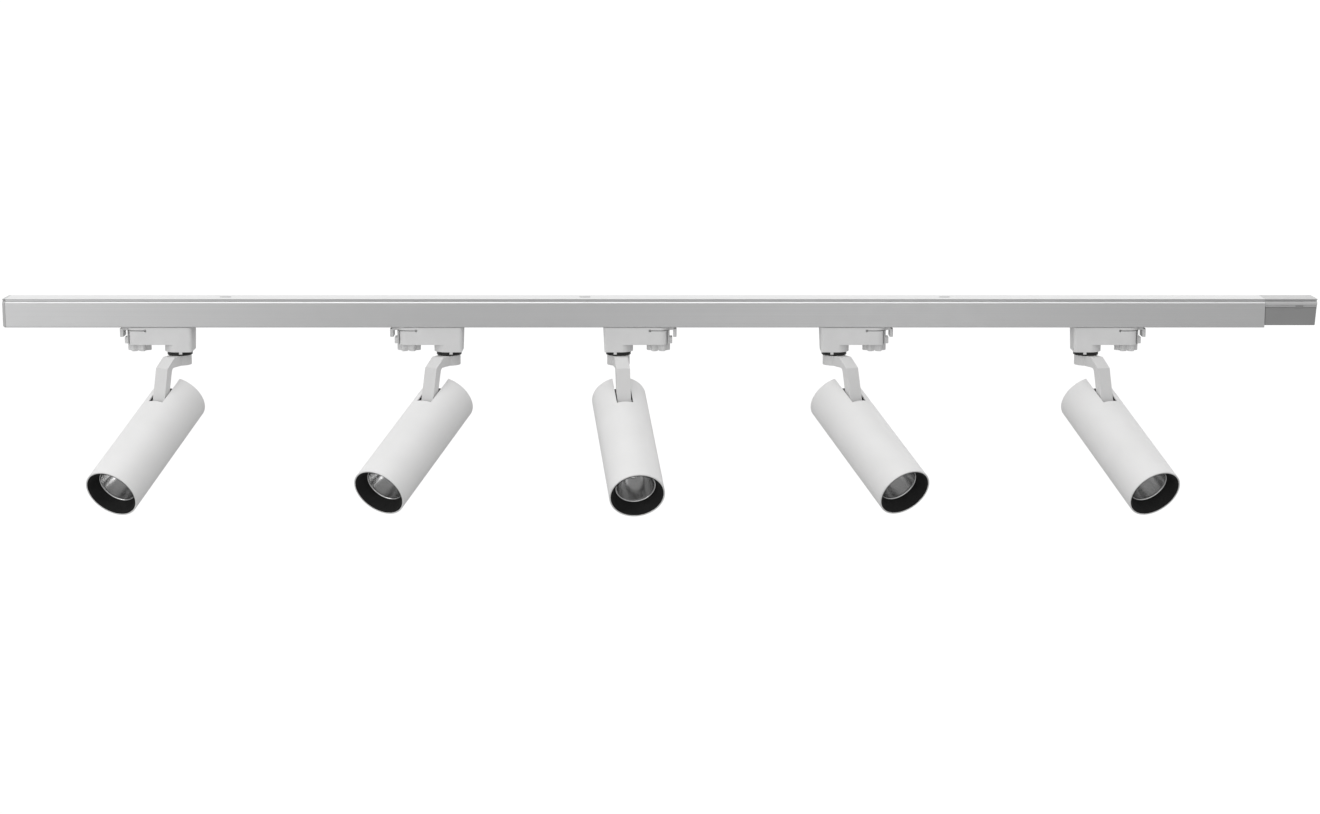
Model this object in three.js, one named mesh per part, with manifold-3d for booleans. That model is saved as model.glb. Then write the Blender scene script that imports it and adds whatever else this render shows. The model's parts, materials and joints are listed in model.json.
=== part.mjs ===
// Ceiling track light: a three-circuit aluminium track with an end cap, a live-end feed and five
// cylindrical spotlights, each on its own track adapter.
//
// Millimetres, +Z up. The origin is the centre of the track's top face, which lies on the ceiling.
// +X runs along the track towards the feed, and the lamps shine down towards -Y.

import * as THREE from "three";
import { mergeVertices } from "three/addons/utils/BufferGeometryUtils.js";
import Module from "manifold-3d";

const wasm = await Module();
wasm.setup();

// ---------------------------------------------------------------- driving dimensions

const GAP = 0.3; // clearance between neighbouring pieces

// Each lamp: its swivel axis along the track, how far it is turned from -Y towards +X, and which
// way along the track the locking lever of its adapter points.
const LAMPS = [
  { number: 1, x: -546.6, yaw: -22.3, leverTowards: -1 },
  { number: 2, x: -223.4, yaw: -28.2, leverTowards: -1 },
  { number: 3, x: -20.3, yaw: 8.8, leverTowards: 1 },
  { number: 4, x: 238.6, yaw: 29, leverTowards: 1 },
  { number: 5, x: 540.8, yaw: 23.5, leverTowards: 1 },
];
const LAMP_TILT = 60.1; // each tube's axis, from straight down towards the horizontal

const RAIL = {
  length: 1500,
  halfWidth: 18,
  height: 34.4,
  topHalfWidth: 17,
  topLip: 1,
  grooveHalfWidth: 15.5,
  grooveBottom: 3.2,
  shoulder: 5,
  edgeRadius: 1,
  web: 2.8,
  wall: 1.8,
  lip: 2.6,
  mouthHalfWidth: 10.6,
};
const MOUNTING_SLOT = { length: 14, width: 5, spacing: 430, count: 3 };

const INSULATOR = { inner: 10.9, top: 7.2, bottom: 27.6 };
const CONDUCTOR = { inner: 12.2, outer: 13.9, halfHeight: 1.3, heights: [-13.5, -22.4] };
const PLUG = { halfWidth: 9.6, top: 7.6, bottom: 27.2 }; // what slides into the channel at its ends

const END_CAP = { thickness: 3, plugLength: 12, cornerRadius: 3 };
const FEED = {
  length: 62,
  plugLength: 30,
  ledge: 9.7,
  bottom: 31.7,
  coreHalfWidth: 15.3,
  coverHalfWidth: 17.2,
  wall: 1.6,
  draft: 2.4,
  inletRadius: 4.5,
};

const HOUSING = {
  swivelEnd: -17.8,
  swivelEndBottom: -16.4,
  leverEnd: 61.4,
  halfWidth: 17,
  top: -34.7,
  bottom: -55.6,
  swivelCornerRadius: 5,
  leverCornerRadius: 12,
  bossRadius: 17.6,
  bossBottom: -64.5,
  neckHalfWidth: 9.4,
  neckTop: -10,
  neckFrom: -14,
  neckTo: 32,
};
const LATCH_STEP = { end: 64.6, halfWidth: 8, top: -47.4, bottom: -55 };
const LEVER = {
  x: 48,
  headRadius: 9.5,
  top: -35,
  thickness: 3.6,
  gripInner: 17.7,
  gripOuter: 21.8,
  gripTop: -36.9,
  gripBottom: -47,
  shaftRadius: 8.2,
  dogReach: 14.3,
  dogHalfWidth: 5.5,
  dogTop: -28.4,
  dogBottom: -31.2,
};
const SELECTOR = {
  lobes: 6,
  meanRadius: 11.9,
  lobeDepth: 2.1,
  top: -55.9,
  bottom: -64,
  shaftRadius: 4.6,
  bladeReach: 11.8,
  bladeHalfWidth: 2,
  bladeHalfHeight: 0.9,
};
const SWIVEL_RING = { radius: 15, top: -64.8, bottom: -69 };
const STUD = { radius: 5, boreRadius: 2.8, headRadius: 8, headTop: -57, headThickness: 2.4 };

const ARM = {
  discRadius: 13.5,
  width: 16.5,
  top: -69.3,
  plateThickness: 12,
  chamferReach: 25, // the plate's top face ends here and slopes down to the leg
  legTop: { reach: 35.5, height: -80.2 }, // the leg's centre line runs from here to the pivot
  legThickness: 10,
  insideRadius: 5,
};
const PIVOT = { reach: 45.5, height: -119.5, barrelRadius: 7.5, pinRadius: 2.2, pinHalfLength: 14.2 };

const TUBE = { radius: 32.5, wall: 1.6, length: 176, segments: 32 };
// The pivot sits this far from the tube's axis, and this far from its rear end.
const PIVOT_IN_TUBE = { fromAxis: 24, fromRear: 36 };
const SLOT = { halfWidth: 9.8, end: 45.4, floor: 15.9 };

const BAFFLE = { depth: 14.6, lip: 1.1, lipDepth: 1.5, innerRadius: 23.4, setBack: 0.3, segments: 24 };
const REFLECTOR = { rimRadius: 22.9, baseRadius: 8.6, depth: 29, skin: 0.9, flange: 1.2, facets: 18 };
const CORE = {
  coverSetBack: 1,
  coverThickness: 3,
  earDepth: 48.3,
  segmentFloor: 12.4,
  spineHalfWidth: 8,
  spineThickness: 4,
  finDepth: 17,
  seatThickness: 6,
  fins: 6,
  finGap: 7,
  hubRadius: 17,
  segments: 20,
};

// ---------------------------------------------------------------- solids and meshes

const radians = THREE.MathUtils.degToRad;

// A closed three.js geometry as a manifold-3d solid.
function solid(geometry) {
  const bare = new THREE.BufferGeometry();
  const source = geometry.index ? geometry.toNonIndexed() : geometry;
  bare.setAttribute("position", source.getAttribute("position"));
  const merged = mergeVertices(bare, 1e-4);
  const corners = [];
  const index = merged.index.array;
  for (let i = 0; i < index.length; i += 3) {
    const [a, b, c] = [index[i], index[i + 1], index[i + 2]];
    if (a !== b && b !== c && c !== a) corners.push(a, b, c);
  }
  const mesh = new wasm.Mesh({
    numProp: 3,
    vertProperties: merged.getAttribute("position").array,
    triVerts: new Uint32Array(corners),
  });
  return new wasm.Manifold(mesh);
}

function join(first, ...others) {
  return others.reduce((whole, other) => whole.add(other), first);
}

function cut(first, ...others) {
  return others.reduce((whole, other) => whole.subtract(other), first);
}

// A manifold-3d solid as a named three.js mesh.
function piece(name, shape, material) {
  const { numProp, vertProperties, triVerts } = shape.getMesh();
  const geometry = new THREE.BufferGeometry();
  geometry.setAttribute("position", new THREE.BufferAttribute(vertProperties, numProp));
  geometry.setIndex(new THREE.BufferAttribute(triVerts, 1));
  geometry.computeVertexNormals();
  const mesh = new THREE.Mesh(geometry, material);
  mesh.name = name;
  return mesh;
}

function outline(points) {
  return new THREE.Shape(points.map(([x, y]) => new THREE.Vector2(x, y)));
}

// A rectangle with round corners: one radius on its low-x side and another on its high-x side.
function roundedOutline(x0, x1, halfWidth, lowRadius, highRadius) {
  const quarter = Math.PI / 2;
  const shape = new THREE.Shape();
  shape.absarc(x0 + lowRadius, -halfWidth + lowRadius, lowRadius, 2 * quarter, 3 * quarter, false);
  shape.absarc(x1 - highRadius, -halfWidth + highRadius, highRadius, 3 * quarter, 4 * quarter, false);
  shape.absarc(x1 - highRadius, halfWidth - highRadius, highRadius, 0, quarter, false);
  shape.absarc(x0 + lowRadius, halfWidth - lowRadius, lowRadius, quarter, 2 * quarter, false);
  return shape;
}

function extrusion(shape, depth) {
  return new THREE.ExtrudeGeometry(shape, { depth, bevelEnabled: false, curveSegments: 3 });
}

// A shape drawn in X and Y, carried from z0 up to z1.
function alongZ(shape, z0, z1) {
  return solid(extrusion(shape, z1 - z0).translate(0, 0, z0));
}

// A shape drawn in X and Z, carried from y0 to y1.
function alongY(shape, y0, y1) {
  return solid(extrusion(shape, y1 - y0).rotateX(Math.PI / 2).translate(0, y1, 0));
}

// A shape drawn in Y and Z, carried from x0 to x1.
function alongX(shape, x0, x1) {
  return solid(extrusion(shape, x1 - x0).rotateX(Math.PI / 2).rotateZ(Math.PI / 2).translate(x0, 0, 0));
}

function box(x0, x1, y0, y1, z0, z1) {
  const geometry = new THREE.BoxGeometry(x1 - x0, y1 - y0, z1 - z0);
  return solid(geometry.translate((x0 + x1) / 2, (y0 + y1) / 2, (z0 + z1) / 2));
}

function postZ(radius, z0, z1, segments, x = 0) {
  const geometry = new THREE.CylinderGeometry(radius, radius, z1 - z0, segments);
  return solid(geometry.rotateX(Math.PI / 2).translate(x, 0, (z0 + z1) / 2));
}

function rodY(radius, halfLength, segments, x, z) {
  const geometry = new THREE.CylinderGeometry(radius, radius, 2 * halfLength, segments);
  return solid(geometry.translate(x, 0, z));
}

function rodX(radius, x0, x1, segments, z) {
  const geometry = new THREE.CylinderGeometry(radius, radius, x1 - x0, segments);
  return solid(geometry.rotateZ(Math.PI / 2).translate((x0 + x1) / 2, 0, z));
}

// A closed profile of [radius, height] points, turned about the Z axis.
function turned(points, segments) {
  const profile = points.map(([radius, height]) => new THREE.Vector2(radius, height));
  if (THREE.ShapeUtils.isClockWise(profile)) profile.reverse();
  profile.push(profile[0].clone());
  return solid(new THREE.LatheGeometry(profile, segments).rotateX(Math.PI / 2));
}

function ring(inner, outer, z0, z1, segments) {
  return turned([[inner, z0], [outer, z0], [outer, z1], [inner, z1]], segments);
}

// ---------------------------------------------------------------- materials

function material(color, roughness, metalness) {
  return new THREE.MeshStandardMaterial({ color, roughness, metalness });
}

const anodised = material(0xb9bbbd, 0.42, 0.8);
const ivoryPlastic = material(0xd9d6cc, 0.6, 0);
const copper = material(0xb87348, 0.35, 1);
const silverPlastic = material(0xb4b6b8, 0.5, 0.1);
const greyPlastic = material(0x848484, 0.55, 0);
const adapterWhite = material(0xdcdcda, 0.55, 0);
const paintedWhite = material(0xeeeeec, 0.5, 0);
const blackPlastic = material(0x1b1b1c, 0.6, 0);
const mattBlack = material(0x161617, 0.8, 0);
const steel = material(0xa9abad, 0.35, 1);
const mirrorAluminium = material(0xd3d4d6, 0.12, 1);
const castAluminium = material(0x3a3b3d, 0.6, 0.5);

// ---------------------------------------------------------------- track

// The half section from the middle of the top face round to the middle of the channel's roof.
function railHalfSection() {
  const r = RAIL;
  const inner = r.halfWidth - r.wall;
  return [
    [0, 0],
    [r.topHalfWidth, 0],
    [r.topHalfWidth, -r.topLip],
    [r.grooveHalfWidth, -r.topLip - 0.3],
    [r.grooveHalfWidth, -r.grooveBottom],
    [r.halfWidth, -r.shoulder],
    [r.halfWidth, -r.height + r.edgeRadius],
    [r.halfWidth - 0.3 * r.edgeRadius, -r.height + 0.3 * r.edgeRadius],
    [r.halfWidth - r.edgeRadius, -r.height],
    [r.mouthHalfWidth, -r.height],
    [r.mouthHalfWidth, -r.height + r.lip],
    [inner, -r.height + r.lip],
    [inner, -r.shoulder - 1.4],
    [r.grooveHalfWidth - 2.5, -r.shoulder],
    [r.grooveHalfWidth - 2.5, -r.web],
    [0, -r.web],
  ];
}

function mirrored(points) {
  return points.map(([y, z]) => [-y, z]).reverse();
}

function trackRail() {
  const half = railHalfSection();
  const section = outline([...half.slice(1, -1), ...mirrored(half.slice(1, -1))]);
  const rail = alongX(section, -RAIL.length / 2, RAIL.length / 2);
  const slots = [];
  for (let i = 0; i < MOUNTING_SLOT.count; i += 1) {
    const x = (i - (MOUNTING_SLOT.count - 1) / 2) * MOUNTING_SLOT.spacing - 60;
    const halfLength = MOUNTING_SLOT.length / 2;
    const halfWidth = MOUNTING_SLOT.width / 2;
    slots.push(box(x - halfLength, x + halfLength, -halfWidth, halfWidth, -RAIL.web - 1, 1));
  }
  return cut(rail, ...slots);
}

// The strip on one side of the channel (side is 1 at +Y), with an open groove for each conductor.
function insulator(side) {
  const wall = RAIL.halfWidth - RAIL.wall - GAP;
  const grooveBack = CONDUCTOR.outer + GAP;
  const section = [
    [INSULATOR.inner, -INSULATOR.top],
    [wall, -INSULATOR.top],
    [wall, -INSULATOR.bottom],
    [INSULATOR.inner, -INSULATOR.bottom],
  ];
  for (const z of [...CONDUCTOR.heights].reverse()) {
    const reach = CONDUCTOR.halfHeight + GAP;
    section.push([INSULATOR.inner, z - reach], [grooveBack, z - reach]);
    section.push([grooveBack, z + reach], [INSULATOR.inner, z + reach]);
  }
  const placed = section.map(([y, z]) => [side * y, z]);
  return alongX(outline(placed), -RAIL.length / 2, RAIL.length / 2);
}

function conductor(side, z) {
  const [low, high] = [side * CONDUCTOR.inner, side * CONDUCTOR.outer].sort((a, b) => a - b);
  const end = RAIL.length / 2 - 2;
  return box(-end, end, low, high, z - CONDUCTOR.halfHeight, z + CONDUCTOR.halfHeight);
}

function channelPlug(x0, x1) {
  return box(x0, x1, -PLUG.halfWidth, PLUG.halfWidth, -PLUG.bottom, -PLUG.top);
}

function endCap() {
  const inner = -RAIL.length / 2 - GAP;
  const outer = inner - END_CAP.thickness;
  const half = railHalfSection().slice(1, 10);
  const plate = alongX(outline([...half, ...mirrored(half)]), outer, inner);
  const corner = END_CAP.cornerRadius;
  const side = new THREE.Shape();
  side.moveTo(inner + END_CAP.plugLength, 1);
  side.lineTo(outer, 1);
  side.lineTo(outer, -RAIL.grooveBottom);
  side.lineTo(outer + corner / 3, -RAIL.height + corner);
  side.lineTo(outer + 2 * (corner / 3), -RAIL.height + corner / 3);
  side.lineTo(outer + corner, -RAIL.height - 1);
  side.lineTo(inner + END_CAP.plugLength, -RAIL.height - 1);
  const trimmed = plate.intersect(alongY(side, -RAIL.halfWidth - 1, RAIL.halfWidth + 1));
  return join(trimmed, channelPlug(inner - 1, inner + END_CAP.plugLength));
}

// ---------------------------------------------------------------- feed

const FEED_START = RAIL.length / 2 + GAP;
const FEED_END = FEED_START + FEED.length;

// What lies beyond the feed's slanted end.
function feedEndTrim() {
  const beyond = FEED_END + 20;
  const low = -RAIL.height;
  return alongY(
    outline([[FEED_END, 1], [beyond, 1], [beyond, low], [FEED_END - FEED.draft, low]]),
    -RAIL.halfWidth - 1,
    RAIL.halfWidth + 1,
  );
}

function feedHousing() {
  const inner = RAIL.grooveHalfWidth - 1;
  const shoulder = railHalfSection().slice(1, 6);
  const half = [...shoulder, [RAIL.halfWidth, -FEED.ledge + 1], [FEED.coverHalfWidth, -FEED.ledge]];
  const crown = alongX(outline([...half, ...mirrored(half)]), FEED_START, FEED_END);
  const wall = FEED.wall + GAP;
  const core = box(
    FEED_START,
    FEED_END - wall - FEED.draft,
    -FEED.coreHalfWidth,
    FEED.coreHalfWidth,
    -FEED.bottom + wall,
    -FEED.ledge + 1,
  );
  const chamber = box(
    FEED_START + 12,
    FEED_END - wall - 2 * FEED.draft,
    -inner + 2,
    inner - 2,
    -FEED.bottom + wall + 2,
    -FEED.ledge - 1,
  );
  const inlet = rodX(FEED.inletRadius, FEED_END - 20, FEED_END + 1, 16, feedInletHeight());
  const plug = channelPlug(FEED_START - FEED.plugLength, FEED_START + 1);
  return cut(join(crown, core, plug), chamber, inlet, feedEndTrim());
}

function feedInletHeight() {
  return -(FEED.ledge + FEED.bottom) / 2;
}

function feedCover() {
  const outside = box(
    FEED_START + GAP,
    FEED_END,
    -FEED.coverHalfWidth,
    FEED.coverHalfWidth,
    -FEED.bottom,
    -FEED.ledge - GAP,
  );
  const inside = box(
    FEED_START - 1,
    FEED_END - FEED.wall - FEED.draft,
    -FEED.coreHalfWidth - GAP,
    FEED.coreHalfWidth + GAP,
    -FEED.bottom + FEED.wall,
    0,
  );
  const inlet = rodX(FEED.inletRadius + GAP, FEED_END - 20, FEED_END + 1, 16, feedInletHeight());
  return cut(outside, inside, inlet, feedEndTrim());
}

// ---------------------------------------------------------------- adapter (swivel axis at x = 0, lever towards +X)

// The lever swings out on the open side, 1 or -1 along Y. A fixed cheek closes the other side.
function adapterHousing(openSide) {
  const h = HOUSING;
  const plan = roundedOutline(h.swivelEnd, h.leverEnd, h.halfWidth, h.swivelCornerRadius, h.leverCornerRadius);
  const side = outline([
    [h.swivelEnd, h.top],
    [h.swivelEndBottom, h.bossBottom],
    [0, h.bossBottom],
    [0, h.bottom],
    [h.leverEnd, h.bottom],
    [h.leverEnd, h.top],
  ]);
  const block = alongZ(plan, h.bossBottom, h.top).intersect(alongY(side, -h.halfWidth, h.halfWidth));
  const boss = postZ(h.bossRadius, h.bossBottom, h.top - 1, 24);
  const flatSided = boss.intersect(box(-1, h.leverEnd, -h.halfWidth, h.halfWidth, h.bossBottom, h.top));
  const neck = box(h.neckFrom, h.neckTo, -h.neckHalfWidth, h.neckHalfWidth, h.top - 1, h.neckTop);
  const step = box(
    h.leverEnd - 6,
    LATCH_STEP.end,
    -LATCH_STEP.halfWidth,
    LATCH_STEP.halfWidth,
    LATCH_STEP.bottom,
    LATCH_STEP.top,
  );
  const pocketSides = [-openSide * (LEVER.headRadius + GAP), openSide * (h.halfWidth + 1)];
  const leverPocket = box(
    LEVER.x - LEVER.headRadius - 0.5,
    h.leverEnd + 1,
    Math.min(...pocketSides),
    Math.max(...pocketSides),
    LEVER.top - LEVER.thickness - GAP,
    h.top + 1,
  );
  const selectorBore = postZ(SELECTOR.shaftRadius + GAP, h.bottom - 1, h.top + 1, 12, LEVER.x);
  const studBore = postZ(STUD.radius + GAP, h.bossBottom - 1, STUD.headTop, 12);
  const headRoom = postZ(
    STUD.headRadius + GAP,
    STUD.headTop - STUD.headThickness - GAP,
    STUD.headTop + GAP,
    12,
  );
  return cut(join(block, flatSided, neck, step), leverPocket, selectorBore, studBore, headRoom);
}

// The locking lever: a flat plate in the housing's pocket, a grip at its end, and a hollow shaft
// whose two dogs lie over the lips of the track when the lever is in line with it.
function lockLever() {
  const l = LEVER;
  const plateBottom = l.top - l.thickness;
  const plan = outline([
    [0, -l.headRadius],
    [l.gripInner + 1, -l.headRadius],
    [l.gripInner + 1, l.headRadius],
    [0, l.headRadius],
  ]);
  const plate = join(postZ(l.headRadius, plateBottom, l.top, 16), alongZ(plan, plateBottom, l.top));
  const grip = box(l.gripInner, l.gripOuter, -l.headRadius, l.headRadius, l.gripBottom, l.gripTop);
  const shaft = postZ(l.shaftRadius, plateBottom, l.dogTop, 16);
  const dogs = box(-l.dogHalfWidth, l.dogHalfWidth, -l.dogReach, l.dogReach, l.dogBottom, l.dogTop);
  const bore = postZ(SELECTOR.shaftRadius + GAP, plateBottom - 1, l.dogTop + 1, 12);
  return cut(join(plate, grip, shaft, dogs), bore);
}

// The circuit selector: a lobed knob below the housing, on a shaft that carries a contact blade up
// to the chosen conductor.
function circuitSelector() {
  const s = SELECTOR;
  const points = [];
  const steps = s.lobes * 4;
  for (let i = 0; i < steps; i += 1) {
    const angle = (i / steps) * 2 * Math.PI;
    const radius = s.meanRadius - s.lobeDepth * Math.cos(s.lobes * (angle + Math.PI / 2));
    points.push([radius * Math.cos(angle), radius * Math.sin(angle)]);
  }
  const knob = alongZ(outline(points), s.bottom, s.top);
  const bladeHeight = CONDUCTOR.heights[0];
  const shaft = postZ(s.shaftRadius, s.top - 1, bladeHeight + s.bladeHalfHeight, 12);
  const blade = box(
    -s.bladeHalfWidth,
    s.bladeHalfWidth,
    -s.bladeReach,
    0,
    bladeHeight - s.bladeHalfHeight,
    bladeHeight + s.bladeHalfHeight,
  );
  return join(knob, shaft, blade);
}

function swivelRing() {
  const inner = STUD.radius + GAP;
  return ring(inner, SWIVEL_RING.radius, SWIVEL_RING.bottom, SWIVEL_RING.top, 20);
}

// ---------------------------------------------------------------- arm (swivel axis at x = 0, reaching towards +X)

// The arm from the side: a plate with a sloped end, and a leg that leans out to the pivot.
function armSide() {
  const a = ARM;
  const bottom = a.top - a.plateThickness;
  const lean = Math.atan2(PIVOT.reach - a.legTop.reach, a.legTop.height - PIVOT.height);
  const across = (a.legThickness / 2) * Math.cos(lean);
  const rise = (a.legThickness / 2) * Math.sin(lean);
  const halfLevel = a.legThickness / 2 / Math.cos(lean); // half the leg's thickness, measured level
  const faceAtFillet = a.legTop.reach - halfLevel
    + (a.legTop.height - bottom + a.insideRadius) * Math.tan(lean);
  const filletReach = faceAtFillet - a.insideRadius / Math.cos(lean);
  const side = new THREE.Shape();
  side.moveTo(0, a.top);
  side.lineTo(0, bottom);
  side.absarc(filletReach, bottom - a.insideRadius, a.insideRadius, Math.PI / 2, lean, true);
  side.lineTo(PIVOT.reach - across, PIVOT.height - rise);
  side.lineTo(PIVOT.reach + across, PIVOT.height + rise);
  side.lineTo(a.legTop.reach + halfLevel, a.legTop.height);
  side.lineTo(a.chamferReach, a.top);
  return side;
}

function arm() {
  const a = ARM;
  const bottom = a.top - a.plateThickness;
  const bar = alongY(armSide(), -a.width / 2, a.width / 2);
  const disc = postZ(a.discRadius, bottom, a.top, 20);
  const barrel = rodY(PIVOT.barrelRadius, a.width / 2, 16, PIVOT.reach, PIVOT.height);
  const pinBore = rodY(PIVOT.pinRadius + GAP, a.width, 12, PIVOT.reach, PIVOT.height);
  const stud = postZ(STUD.radius, a.top - 1, STUD.headTop, 12);
  const head = postZ(STUD.headRadius, STUD.headTop - STUD.headThickness, STUD.headTop, 12);
  const wireBore = postZ(STUD.boreRadius, bottom - 1, STUD.headTop + 1, 8);
  return cut(join(bar, disc, barrel, stud, head), pinBore, wireBore);
}

// ---------------------------------------------------------------- spot (axis on Z, rear end at z = 0, slot towards -X)

const TUBE_INNER = TUBE.radius - TUBE.wall;
const FIT_RADIUS = TUBE_INNER - GAP;
const BAFFLE_REAR = TUBE.length - BAFFLE.depth;

// The space that the arm's leg and barrel swing in, open at the rear and through the wall.
function armSpace(extra) {
  return box(
    -TUBE.radius - 5,
    -SLOT.floor + extra,
    -SLOT.halfWidth - extra,
    SLOT.halfWidth + extra,
    -1,
    SLOT.end + extra,
  );
}

function tube() {
  return cut(ring(TUBE_INNER, TUBE.radius, 0, TUBE.length, TUBE.segments), armSpace(0));
}

function baffle() {
  const front = TUBE.length - BAFFLE.setBack;
  const lipRadius = FIT_RADIUS - BAFFLE.lip;
  const profile = [
    [BAFFLE.innerRadius, BAFFLE_REAR],
    [FIT_RADIUS, BAFFLE_REAR],
    [FIT_RADIUS, front],
    [lipRadius, front],
    [lipRadius - BAFFLE.lip / 2, front - BAFFLE.lipDepth],
  ];
  return turned(profile, BAFFLE.segments);
}

// The bowl's radius at a share of its depth, 0 at the light source and 1 at the rim.
function bowlRadius(share) {
  const { baseRadius, rimRadius } = REFLECTOR;
  return baseRadius + (rimRadius - baseRadius) * Math.pow(share, 0.6);
}

function reflector() {
  const rim = BAFFLE_REAR - GAP;
  const base = rim - REFLECTOR.depth;
  const shares = [0, 0.35, 1];
  const inside = shares.map((share) => [bowlRadius(share), base + share * REFLECTOR.depth]);
  const outside = shares
    .slice(0, -1)
    .reverse()
    .map((share) => [bowlRadius(share) + REFLECTOR.skin, base + share * REFLECTOR.depth]);
  const profile = [
    ...inside,
    [FIT_RADIUS, rim],
    [FIT_RADIUS, rim - REFLECTOR.flange],
    [REFLECTOR.rimRadius + REFLECTOR.skin, rim - REFLECTOR.flange],
    ...outside,
  ];
  return turned(profile, REFLECTOR.facets);
}

// The casting inside the tube: rear cover, ears for the pivot pin, spine and finned heat sink with
// a seat for the light source.
function heatSink() {
  const c = CORE;
  const seatFront = BAFFLE_REAR - GAP - REFLECTOR.depth - GAP;
  const seatRear = seatFront - c.seatThickness;
  const finRear = seatRear - c.finDepth;
  const cover = postZ(FIT_RADIUS, c.coverSetBack, c.coverSetBack + c.coverThickness, c.segments);
  const earSide = box(-TUBE.radius, -c.segmentFloor, -TUBE.radius, TUBE.radius, 0, c.earDepth);
  const ears = postZ(FIT_RADIUS, c.coverSetBack, c.earDepth, c.segments).intersect(earSide);
  const spine = box(
    -c.segmentFloor - c.spineThickness,
    -c.segmentFloor + GAP,
    -c.spineHalfWidth,
    c.spineHalfWidth,
    c.earDepth - 1,
    seatRear + 1,
  );
  const seat = postZ(FIT_RADIUS, seatRear, seatFront, c.segments);
  const fins = postZ(FIT_RADIUS, finRear, seatRear + 1, c.segments);
  const gaps = [];
  for (let i = 0; i < c.fins; i += 1) {
    const gap = new THREE.BoxGeometry(TUBE.radius, c.finGap, c.finDepth + 1);
    gap.translate(c.hubRadius + TUBE.radius / 2, 0, finRear - 1 + (c.finDepth + 1) / 2);
    gap.rotateZ(((i + 0.5) / c.fins) * 2 * Math.PI);
    gaps.push(solid(gap));
  }
  const pinBore = rodY(
    PIVOT.pinRadius + GAP,
    TUBE.radius,
    12,
    -PIVOT_IN_TUBE.fromAxis,
    PIVOT_IN_TUBE.fromRear,
  );
  const body = join(cover, ears, spine, seat, cut(fins, ...gaps));
  return cut(body, armSpace(GAP), pinBore);
}

function tiltPin() {
  const { fromAxis, fromRear } = PIVOT_IN_TUBE;
  return rodY(PIVOT.pinRadius, PIVOT.pinHalfLength, 12, -fromAxis, fromRear);
}

// ---------------------------------------------------------------- assembly

function trackPieces() {
  const [upper, lower] = CONDUCTOR.heights;
  return [
    piece("track_rail", trackRail(), anodised),
    piece("insulator_front", insulator(-1), ivoryPlastic),
    piece("insulator_rear", insulator(1), ivoryPlastic),
    piece("conductor_line_1", conductor(-1, upper), copper),
    piece("conductor_line_2", conductor(-1, lower), copper),
    piece("conductor_line_3", conductor(1, upper), copper),
    piece("conductor_neutral", conductor(1, lower), copper),
    piece("end_cap", endCap(), silverPlastic),
    piece("feed_housing", feedHousing(), silverPlastic),
    piece("feed_cover", feedCover(), greyPlastic),
  ];
}

function adapterGroup(lamp, shapes) {
  const group = new THREE.Group();
  group.rotation.z = lamp.leverTowards > 0 ? 0 : Math.PI;
  const lever = piece(`lock_lever_${lamp.number}`, shapes.lever, adapterWhite);
  const selector = piece(`circuit_selector_${lamp.number}`, shapes.selector, adapterWhite);
  lever.position.x = LEVER.x;
  selector.position.x = LEVER.x;
  selector.rotation.z = lamp.leverTowards > 0 ? 0 : Math.PI;
  const housing = lamp.leverTowards > 0 ? shapes.rightHousing : shapes.leftHousing;
  group.add(piece(`adapter_housing_${lamp.number}`, housing, adapterWhite), lever, selector);
  return group;
}

function spotGroup(lamp, shapes) {
  const axis = new THREE.Group();
  axis.position.set(PIVOT_IN_TUBE.fromAxis, 0, -PIVOT_IN_TUBE.fromRear);
  axis.add(
    piece(`spot_tube_${lamp.number}`, shapes.tube, paintedWhite),
    piece(`baffle_${lamp.number}`, shapes.baffle, mattBlack),
    piece(`reflector_${lamp.number}`, shapes.reflector, mirrorAluminium),
    piece(`heat_sink_${lamp.number}`, shapes.heatSink, castAluminium),
    piece(`tilt_pin_${lamp.number}`, shapes.pin, steel),
  );
  const tilt = new THREE.Group();
  tilt.position.set(PIVOT.reach, 0, PIVOT.height);
  tilt.rotation.y = Math.PI - radians(LAMP_TILT);
  tilt.add(axis);
  return tilt;
}

function swivelGroup(lamp, shapes) {
  const group = new THREE.Group();
  group.rotation.z = radians(lamp.yaw - 90);
  group.add(
    piece(`swivel_ring_${lamp.number}`, shapes.swivelRing, blackPlastic),
    piece(`arm_${lamp.number}`, shapes.arm, paintedWhite),
    spotGroup(lamp, shapes),
  );
  return group;
}

function lampGroup(lamp, shapes) {
  const group = new THREE.Group();
  group.position.x = lamp.x;
  group.add(adapterGroup(lamp, shapes), swivelGroup(lamp, shapes));
  return group;
}

const lampShapes = {
  rightHousing: adapterHousing(1),
  leftHousing: adapterHousing(-1),
  lever: lockLever(),
  selector: circuitSelector(),
  swivelRing: swivelRing(),
  arm: arm(),
  tube: tube(),
  baffle: baffle(),
  reflector: reflector(),
  heatSink: heatSink(),
  pin: tiltPin(),
};

const trackLight = new THREE.Group();
trackLight.add(...trackPieces());
for (const lamp of LAMPS) trackLight.add(lampGroup(lamp, lampShapes));

export default trackLight;
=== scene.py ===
"""Ceiling track light: the visible model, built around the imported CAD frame.

Shapes are drawn in millimetres, in each sub-part's own frame, and turned into metres when they are
finished. The lamps' places come from the frame's joints.
"""

import json
import math

import bmesh
import bpy
from mathutils import Matrix, Vector

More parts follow.
